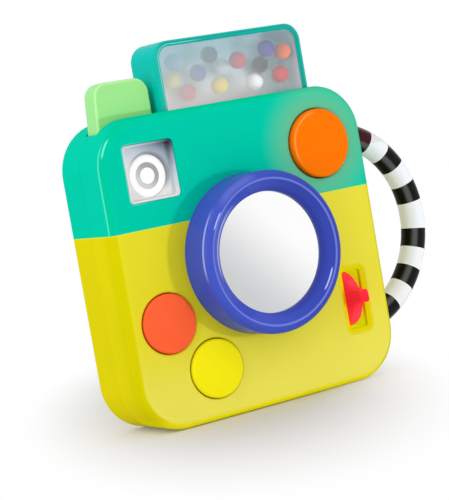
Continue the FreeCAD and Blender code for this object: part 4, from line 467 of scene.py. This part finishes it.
# Handle. The bands end at these angles, the same above and below its middle
STRIPE_EDGES_DEG = (8.15, 20.1, 33.0, 44.9, 57.9)
STRIPE_STEP = 0.0001
HANDLE_ROOT = (0.0955, 0.0965)
HIGHLIGHT_STREAK = (-0.55, -0.42, 0.25)


def banding(build, across, up, first, second):
    """Two colours in turn round the handle, from its middle both ways."""
    side, rise = build.apart(across, up, HANDLE_CENTRE)
    angle = build.calc("ABSOLUTE", build.calc("ARCTAN2", rise, side))
    quarter_share = build.calc("DIVIDE", angle, math.pi / 2)
    stops = [(0.0, first)]
    for i, edge in enumerate(STRIPE_EDGES_DEG):
        stops.append((edge / 90, first if i % 2 else second))
    return build.ramp(quarter_share, stops, "CONSTANT")


def stripes(build, across, deep, up):
    """White and black bands, reddish at the upper end, with a soft painted highlight streak,
    greyer outside as painted shade.
    """
    banded = banding(build, across, up, srgb(242, 245, 250), srgb(10, 10, 9))
    root = build.both(build.fade(up, *HANDLE_ROOT), 0.16)
    banded = build.mix(root, banded, srgb(150, 30, 50))
    off = build.calc("SUBTRACT", build.reach(across, up, HANDLE_CENTRE), HANDLE_RADIUS * MM)
    off = build.calc("DIVIDE", off, HANDLE_TUBE * MM)
    # Painted highlight: a soft pale streak along the front of the tube.
    front = build.fade(deep, 0.0, -0.001)
    highlight_streak = build.both(build.band(off, *HIGHLIGHT_STREAK), front, 0.13)
    banded = build.mix(highlight_streak, banded, srgb(212, 214, 216))
    # Painted shade: greyer towards the tube's outer side.
    return build.mix(build.fade(off, 0.5, 1.0, 0.0, 0.4), banded, srgb(150, 152, 150))


def stripe_step(build, across, deep, up):
    """The bands meet in a fine step."""
    level = banding(build, across, up, (1, 1, 1, 1), (0, 0, 0, 1))
    return build.calc("MULTIPLY", level, STRIPE_STEP)


dress(
    plastic("striped_handle", stripes, rough=0.2, relief=stripe_step, Coat_Weight=0.2),
    "handle_ring",
)


# Lever, its well, and the tab
TAB_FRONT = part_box("shutter_button")[0][1]
TAB_RIM_HIGHLIGHT, TAB_SIDE = (TAB_FRONT + 0.0011, TAB_FRONT + 0.0014, 0.0003), (-0.0040, -0.0028)
HUB_HEIGHTS = (0.001, 0.0075)
# Painted light: the lever and its well glow a little, though they are no lamps, to lift them in
# the slot's shade.
LEVER_GLOW = {"Emission_Color": srgb(246, 44, 60), "Emission_Strength": 0.42}
WELL_GLOW = {"Emission_Color": srgb(160, 240, 12), "Emission_Strength": 0.42}


def lever_red(build, across, deep, up):
    """Pinkish red, deeper across the hub."""
    rise = build.calc("ABSOLUTE", build.calc("SUBTRACT", up, SLOT_CENTRE[1] * MM))
    return build.mix(build.fade(rise, *HUB_HEIGHTS), srgb(226, 26, 44), srgb(250, 60, 78))


def tab_green(build, across, deep, up):
    """Pale green, with a painted highlight along its rim."""
    base = build.mix(build.fade(deep, *TAB_SIDE), srgb(155, 227, 136), srgb(156, 224, 144))
    # Painted highlight along the tab's rim.
    rim_highlight = build.both(build.band(deep, *TAB_RIM_HIGHLIGHT), 0.6)
    return build.mix(rim_highlight, base, srgb(196, 246, 176))


dress(plastic("lever_red", lever_red, rough=0.3, **LEVER_GLOW), "click_lever")
dress(plastic("yellow_well", srgb(205, 228, 10), **WELL_GLOW), "lever_well")
dress(plastic("tab_green", tab_green), "shutter_button")


# Rattle box and beads, in millimetres
box_low, box_high = ([c / MM for c in corner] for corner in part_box("rattle_housing"))
BOX_FLANGE, BOX_CORNER = 1.2, 7.2
BOX_MIDDLE = ((box_low[0] + box_high[0]) / 2, (box_low[2] + box_high[2]) / 2)
BOX_HALF_WIDE = (box_high[0] - box_low[0]) / 2 - BOX_FLANGE
BOX_HALF_TALL = (box_high[2] - box_low[2]) / 2
BOX_FRONT, BOX_BACK = box_low[1] + BOX_FLANGE, box_high[1] - BOX_FLANGE
LINING_FRONT, LINING_BACK = BOX_FRONT + 0.6, BOX_BACK - 1.8
window_low, window_high = ([c / MM for c in corner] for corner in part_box("rattle_window"))
WINDOW_CENTRE = [(window_low[i] + window_high[i]) / 2 for i in (0, 2)]
WINDOW_HALVES = [(window_high[i] - window_low[i]) / 2 for i in (0, 2)]
WINDOW_TOP = window_high[2]
WINDOW_CORNER = 5.5
# In metres: what the paint functions read
COOL_TO_WARM = (0.147, 0.126)
BOX_RIM_DEPTHS = (-0.0090, -0.0076)
GROOVE_SHADE_BEYOND, GLEAM_BEYOND = (0.0006, 0.0009), (0.0, 0.0003)
LINING_INSIDE, LINING_RIGHT = (-0.0015, -0.0016), (0.024, 0.043)


def past_window(build, across, up):
    """How far a point lies outside the window's outline."""
    return build.beyond(across, up, WINDOW_CENTRE, *WINDOW_HALVES, WINDOW_CORNER)


def box_teal(build, across, deep, up):
    """Bluish teal, a little greener on its front rim, with a painted shade line along the
    window's top, a painted highlight along its left edge, and a pale lining in the room.
    """
    front = build.fade(deep, *BOX_RIM_DEPTHS)
    outside = build.mix(front, srgb(34, 178, 164), srgb(4, 188, 178))
    beyond = past_window(build, across, up)
    face = build.fade(deep, (BOX_FRONT + 0.5) * MM, (BOX_FRONT + 0.3) * MM)
    above = build.fade(up, (WINDOW_TOP - 2) * MM, WINDOW_TOP * MM)
    # Painted shade: a dark line round the window's top edge.
    groove_shade = build.both(build.band(beyond, *GROOVE_SHADE_BEYOND), face, above, 0.6)
    outside = build.mix(groove_shade, outside, srgb(0, 128, 124))
    # Painted highlight: a pale line along the window's left edge.
    left = build.fade(across, (BOX_MIDDLE[0] - 10) * MM, (BOX_MIDDLE[0] - 20) * MM)
    gleam = build.both(build.band(beyond, *GLEAM_BEYOND), face, left, 0.6)
    outside = build.mix(gleam, outside, srgb(150, 232, 222))
    inside = build.beyond(across, up, BOX_MIDDLE, BOX_HALF_WIDE, BOX_HALF_TALL, BOX_CORNER)
    lining = build.fade(inside, *LINING_INSIDE)
    for edge, step in ((LINING_BACK, -0.1), (LINING_FRONT, 0.1)):
        lining = build.both(lining, build.fade(deep, edge * MM, (edge + step) * MM))
    pale = build.mix(build.fade(up, *COOL_TO_WARM), srgb(176, 206, 214), srgb(244, 246, 245))
    right = build.fade(across, *LINING_RIGHT, 0.0, 0.6)
    pale = build.mix(right, pale, srgb(196, 232, 240))
    return build.mix(lining, outside, pale)


VEIL_SLANT, VEIL_SPAN = (0.8, -0.2), (-0.054, 0.008)
VEIL_LEFT, VEIL_RIGHT = 0.40, 0.05
PANE = {"Transmission Weight": 0.96, "IOR": 1.45, "Specular IOR Level": 0.09}
PANE_GRAIN, PANE_SMUDGE_GRAIN = (2500, 2), (40, 3)
PANE_BORDER = (-0.0007, -0.0006)


def window_veil(build, across, up):
    """The frost's painted glow: its colour, cool above and warm below, and its share, which is
    thicker at the left.
    """
    colour = build.mix(
        build.fade(up, *COOL_TO_WARM), srgb(174, 204, 212), srgb(216, 211, 208)
    )
    slant = build.along(across, up, VEIL_SLANT)
    return colour, build.fade(slant, *VEIL_SPAN, VEIL_LEFT, VEIL_RIGHT)


def frosted(name):
    """A frosted pane with a teal border: blurred glass under a thin pale veil, whose glow is
    painted light.

    Shadow rays pass it, so that the lamps light the beads.
    """
    material, build, out = new_material(name)
    place, across, _, up = build.place()
    frosting = build.both(build.noise(PANE_GRAIN, place), PEEL_HEIGHT)
    colour, share = window_veil(build, across, up)
    kept = build.calc("POWER", build.calc("SUBTRACT", 1.0, share), 2)
    values = {
        "Base Color": build.mix(kept, (0, 0, 0, 1), srgb(250, 251, 252)),
        "Roughness": build.patchy(PANE_SMUDGE_GRAIN, place, 0.16, 0.2),
        # Painted light: the veil glows with its own colour rather than being lit.
        "Emission Color": colour,
        "Emission Strength": share,
        "Normal": build.bump(frosting, 0.1),
    }
    pane = build.add("BsdfPrincipled", {**values, **PANE})
    border = build.add("BsdfDiffuse", {"Color": srgb(6, 184, 172)})
    edge = build.fade(past_window(build, across, up), *PANE_BORDER)
    bordered = build.add("MixShader", {0: edge, 1: pane.outputs[0], 2: border.outputs[0]})
    clear = build.add("BsdfTransparent", {"Color": (0.9, 0.93, 0.94, 1)})
    shadow = build.add("LightPath").outputs["Is Shadow Ray"]
    shaders = {0: shadow, 1: bordered.outputs[0], 2: clear.outputs[0]}
    build.show(build.add("MixShader", shaders), out)
    return material


dress(plastic("box_teal", box_teal, Coat_Weight=0.0), "rattle_housing")
dress(frosted("window_frost"), "rattle_window")
BEADS = {
    "bead_grey": srgb(104, 136, 170),
    "bead_black": srgb(14, 14, 20),
    "bead_purple": srgb(70, 44, 150),
    "bead_yellow": srgb(236, 208, 50),
    "bead_red": srgb(206, 14, 34),
    "bead_white": srgb(240, 242, 244),
    "bead_orange": srgb(240, 100, 30),
}
for bead_name, bead_colour in BEADS.items():
    dress(plastic(f"{bead_name}_gloss", bead_colour, rough=0.15), bead_name)


# Buttons, in millimetres
CAP_SEGMENTS, CAP_FACE_STEPS, CAP_ROUND_STEPS = 128, 24, 12
CAP_CROWN, CAP_ROUND, CAP_SKIN, CAP_SKIRT, CAP_FLANGE = 0.7, 1.1, 1.5, 1.3, 1.1
CAP_LAND, CAP_BEVEL = 0.2, 0.05
CAP_DEPTH, CAP_GROWTH = 2.2, 0.12


def as_piece(name, body):
    """A smooth-shaded object made from a finished bmesh."""
    bmesh.ops.recalc_face_normals(body, faces=body.faces)
    mesh = bpy.data.meshes.new(name)
    body.to_mesh(mesh)
    body.free()
    for polygon in mesh.polygons:
        polygon.use_smooth = True
    piece = bpy.data.objects.new(name, mesh)
    bpy.context.scene.collection.objects.link(piece)
    return piece


def turned(name, profile, centre):
    """A closed solid turned about Y from (radius, depth) points in millimetres."""
    body = bmesh.new()
    rings = []
    for radius, deep in profile:
        if radius == 0:
            rings.append([body.verts.new((centre[0] * MM, deep * MM, centre[1] * MM))])
            continue
        ring = []
        for i in range(CAP_SEGMENTS):
            angle = 2 * math.pi * i / CAP_SEGMENTS
            across = centre[0] + radius * math.cos(angle)
            up = centre[1] + radius * math.sin(angle)
            ring.append(body.verts.new((across * MM, deep * MM, up * MM)))
        rings.append(ring)
    for first, second in zip(rings, rings[1:]):
        for i in range(CAP_SEGMENTS):
            j = (i + 1) % CAP_SEGMENTS
            corners = [first[i % len(first)], first[j % len(first)]]
            corners += [second[j % len(second)], second[i % len(second)]]
            body.faces.new(list(dict.fromkeys(corners)))
    return as_piece(name, body)


def cap_profile(radius, proud):
    """A crowned face that rolls over a round shoulder into the cap's side, and its inside."""
    face, back = FACE_DEPTH - proud, FACE_DEPTH + CAP_DEPTH
    inner, inside, under = radius - CAP_ROUND, radius - CAP_SKIRT, face + CAP_SKIN
    points = []
    for i in range(CAP_FACE_STEPS + 1):
        reach = inner * i / CAP_FACE_STEPS
        points.append((reach, face - CAP_CROWN * (1 - (reach / inner) ** 2)))
    for i in range(1, CAP_ROUND_STEPS + 1):
        turn = math.pi / 2 * i / CAP_ROUND_STEPS
        side, drop = CAP_ROUND * math.sin(turn), CAP_ROUND * (1 - math.cos(turn))
        points.append((inner + side, face + drop))
    points += [(radius, face + CAP_ROUND + CAP_LAND)]
    points += [(radius, back - CAP_BEVEL), (radius - CAP_BEVEL, back)]
    points += [(inside + CAP_BEVEL, back), (inside, back - CAP_BEVEL)]
    points += [(inside, under + CAP_BEVEL), (inside - CAP_BEVEL, under), (0, under)]
    return points


def add_button(node, proud, material):
    """A smooth cap in place of the CAD one, whose box gives its place and radius."""
    low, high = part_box(node)
    centre = [(low[i] + high[i]) / 2 / MM for i in (0, 2)]
    radius = (high[0] - low[0]) / 2 / MM - CAP_FLANGE + CAP_GROWTH
    piece = turned(f"{node}_cap", cap_profile(radius, proud), centre)
    piece.data.materials.append(material)
    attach(piece, node)
    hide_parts(node)


ARC_SLANT, ARC_LEFT = (-1.0, 0.5), (0.0155, 0.0225)
ARC_REACH = (0.0127, 0.0130, 0.0004)


def orange_cap(build, across, deep, up):
    """Orange, with a painted highlight arc along the left of its rim."""
    left = build.fade(build.along(across, up, ARC_SLANT), *ARC_LEFT)
    reach = build.reach(across, up, ORANGE_PLACE)
    # Painted highlight: a pale arc along the left of the rim.
    arc_highlight = build.both(build.band(reach, *ARC_REACH), left, 0.5)
    return build.mix(arc_highlight, srgb(252, 118, 4), srgb(255, 176, 96))


MATT_CAP = {"tone": 0.02, "Coat_Weight": 0.0}
CAP_ORANGE = plastic("cap_orange", orange_cap, **MATT_CAP)
CAP_CORAL = plastic("cap_coral", srgb(255, 99, 56), **MATT_CAP)
CAP_YELLOW = plastic("cap_yellow", srgb(246, 234, 20), **MATT_CAP)
add_button("orange_button", 2.0, CAP_ORANGE)
add_button("coral_button", 1.5, CAP_CORAL)
add_button("yellow_button", 1.5, CAP_YELLOW)


# Hardware and the works inside
MARKS_GRAIN, PLATING_GRAIN = (900, 3), (300, 3)
MARKS_HEIGHT = 0.0001


def steel(name, colour, rough=0.3):
    """Plated steel with fine turning marks."""
    material, build, out = new_material(name)
    place = build.place()[0]
    marks = build.noise(MARKS_GRAIN, place)
    dark = (*(c * 0.7 for c in colour[:3]), 1)
    values = {
        "Base Color": build.mix(marks, colour, dark),
        "Roughness": build.patchy(PLATING_GRAIN, place, rough * 0.8, rough * 1.4),
        "Normal": build.bump(marks, 0.2, MARKS_HEIGHT),
        "Metallic": 1.0,
    }
    build.show(build.add("BsdfPrincipled", values), out)
    return material


STEEL = steel("plated_steel", (0.62, 0.62, 0.64, 1))
STEEL_NODES = (
    "shell_screws",
    "board_screws",
    "lens_ring_screws",
    "battery_door_screw",
    "shutter_spring",
    "click_spring",
    "battery_springs",
    "battery_contacts",
    "lever_pin",
)
dress(STEEL, *STEEL_NODES)
dress(plastic("carrier_white", srgb(225, 226, 224)), "mirror_carrier")
dress(
    plastic("silicone", srgb(222, 224, 222), rough=0.55, Specular_IOR_Level=0.3),
    "orange_dome",
    "coral_dome",
    "yellow_dome",
)
dress(
    plastic("board_green", srgb(24, 96, 52), rough=0.4, Specular_IOR_Level=0.4),
    "circuit_board",
    "switch_board",
    "led_board",
)
dress(
    plastic("black_works", srgb(26, 26, 28), rough=0.4),
    "sound_chip",
    "power_switch_body",
    "speaker_cone",
)
dress(plastic("switch_black", srgb(38, 38, 42), rough=0.45, peel=0.2), "power_switch_slider")
dress(plastic("cell_case", srgb(70, 120, 190), rough=0.35, Metallic=0.4), "batteries")
dress(steel("speaker_steel", (0.42, 0.42, 0.43, 1), 0.4), "speaker")


# The tab's spring
SPRING_WIRE = 0.35 * MM
SPRING_TURNS, SPRING_STEPS, SPRING_SIDES = 8, 28, 10


def add_spring(node):
    """A coiled wire in place of the spring's plain sleeve."""
    low, high = (Vector(corner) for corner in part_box(node))
    centre = (low + high) / 2
    coil = (high.x - low.x) / 2 - SPRING_WIRE
    base, top = low.z + SPRING_WIRE, high.z - SPRING_WIRE
    steps = SPRING_TURNS * SPRING_STEPS
    body = bmesh.new()
    rings = []
    for i in range(steps + 1):
        share = i / steps
        angle = 2 * math.pi * SPRING_TURNS * share
        out = Vector((math.cos(angle), math.sin(angle), 0))
        middle = Vector((centre.x, centre.y, base + (top - base) * share)) + coil * out
        ring = []
        for j in range(SPRING_SIDES):
            turn = 2 * math.pi * j / SPRING_SIDES
            side = math.cos(turn) * out + math.sin(turn) * Vector((0, 0, 1))
            ring.append(body.verts.new(middle + SPRING_WIRE * side))
        rings.append(ring)
    for first, second in zip(rings, rings[1:]):
        for j in range(SPRING_SIDES):
            k = (j + 1) % SPRING_SIDES
            body.faces.new((first[j], first[k], second[k], second[j]))
    body.faces.new(rings[0])
    body.faces.new(rings[-1])
    piece = as_piece(f"{node}_coil", body)
    for polygon in piece.data.polygons:
        # The wire's two cut ends stay flat
        polygon.use_smooth = len(polygon.vertices) == 4
    piece.data.materials.append(STEEL)
    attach(piece, "root")
    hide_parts(node)
    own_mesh(piece)


add_spring("shutter_spring")


# Studio. The floor's painted shade is an ellipse under the toy, on a slant
SHADE_CENTRE_MM = (7.0, 36.5)
SHADE_LONG_WAY, SHADE_WIDE_WAY = (0.418, 0.909), (-0.909, 0.418)
SHADE_LONG, SHADE_WIDE = 0.118, 0.046
FLOOR_SHADE = (0.70, 0.68, 0.66, 1)
SHADE_FADE = (0.58, 2.03)
FLOOR_GRAIN, FLOOR_TINT = (400, 3), (0.79, 0.81)
FLOOR_HALF = 6.0
WORLD_LEVEL = 0.80
KEY_PLACE = (0.238, -0.495, 0.025)
WHITE = (1, 1, 1, 1)


def add_area(name, place, aim, size, power):
    """A soft lamp that faces a point."""
    data = bpy.data.lights.new(name, "AREA")
    data.energy = power
    data.size = size
    lamp = bpy.data.objects.new(name, data)
    direction = Vector(aim) - Vector(place)
    lamp.location = place
    lamp.rotation_euler = direction.to_track_quat("-Z", "Y").to_euler()
    bpy.context.scene.collection.objects.link(lamp)
    return lamp


def around(azimuth, elevation, distance, height=0.07):
    """A place round the toy: azimuth 0 is straight in front, and it grows to the right."""
    turn, rise = math.radians(azimuth), math.radians(elevation)
    level = distance * math.cos(rise)
    return (level * math.sin(turn), -level * math.cos(turn), height + distance * math.sin(rise))


def shown(build, *kinds):
    """One for the named kinds of ray and nothing for the rest."""
    path = build.add("LightPath")
    seen = path.outputs[kinds[0]]
    for kind in kinds[1:]:
        seen = build.calc("MAXIMUM", seen, path.outputs[kind])
    return seen


def add_floor():
    """The plain pale floor: near the toy it keeps the toy's shadow under a painted shade, and
    it runs out to white.
    """
    mesh = bpy.data.meshes.new("floor")
    far = FLOOR_HALF
    corners = [(-far, -far, 0), (far, -far, 0), (far, far, 0), (-far, far, 0)]
    mesh.from_pydata(corners, [], [(0, 1, 2, 3)])
    floor = bpy.data.objects.new("floor", mesh)
    bpy.context.scene.collection.objects.link(floor)
    material, build, out = new_material("floor_paint")
    place, across, deep, _ = build.place()
    side, away = build.apart(across, deep, SHADE_CENTRE_MM)
    long = build.calc("DIVIDE", build.along(side, away, SHADE_LONG_WAY), SHADE_LONG)
    wide = build.calc("DIVIDE", build.along(side, away, SHADE_WIDE_WAY), SHADE_WIDE)
    seen = shown(build, "Is Camera Ray", "Is Glossy Ray")
    grain = build.patchy(FLOOR_GRAIN, place, *FLOOR_TINT)
    tint = build.add("CombineColor", {"Red": grain, "Green": grain, "Blue": grain})
    # Painted shade: camera and glossy rays see a darker floor than the one that lights the toy.
    shade = build.mix(seen, tint.outputs[0], FLOOR_SHADE)
    matt = build.add("BsdfDiffuse", {"Color": shade})
    white = build.add("Emission", {"Color": WHITE, "Strength": 1.0})
    share = build.both(seen, build.fade(build.length(long, wide), *SHADE_FADE))
    shaders = {0: share, 1: matt.outputs[0], 2: white.outputs[0]}
    build.show(build.add("MixShader", shaders), out)
    mesh.materials.append(material)


def add_world():
    """A white surround that lights the toy a little less than it shows."""
    world = bpy.data.worlds.new("studio")
    bpy.context.scene.world = world
    world.use_nodes = True
    world.node_tree.nodes.clear()
    build = Nodes(world.node_tree)
    out = build.add("OutputWorld")
    seen = shown(build, "Is Camera Ray", "Is Glossy Ray", "Is Transmission Ray")
    level = build.fade(seen, 0, 1, WORLD_LEVEL, 1.0)
    build.show(build.add("Background", {"Color": WHITE, "Strength": level}), out)


add_camera()
add_world()
add_floor()
key = add_area("key", KEY_PLACE, aim=(0, 0, 0.07), size=0.035, power=0.68)
key.visible_glossy = False
add_area("left_fill", around(-78, 14, 1.5), aim=(0, 0, 0.06), size=0.9, power=4.6)
add_area("top", around(-75, 48, 1.4), aim=(0, 0, 0.06), size=0.5, power=3.0)

scene = bpy.context.scene
scene.view_settings.view_transform = "Standard"
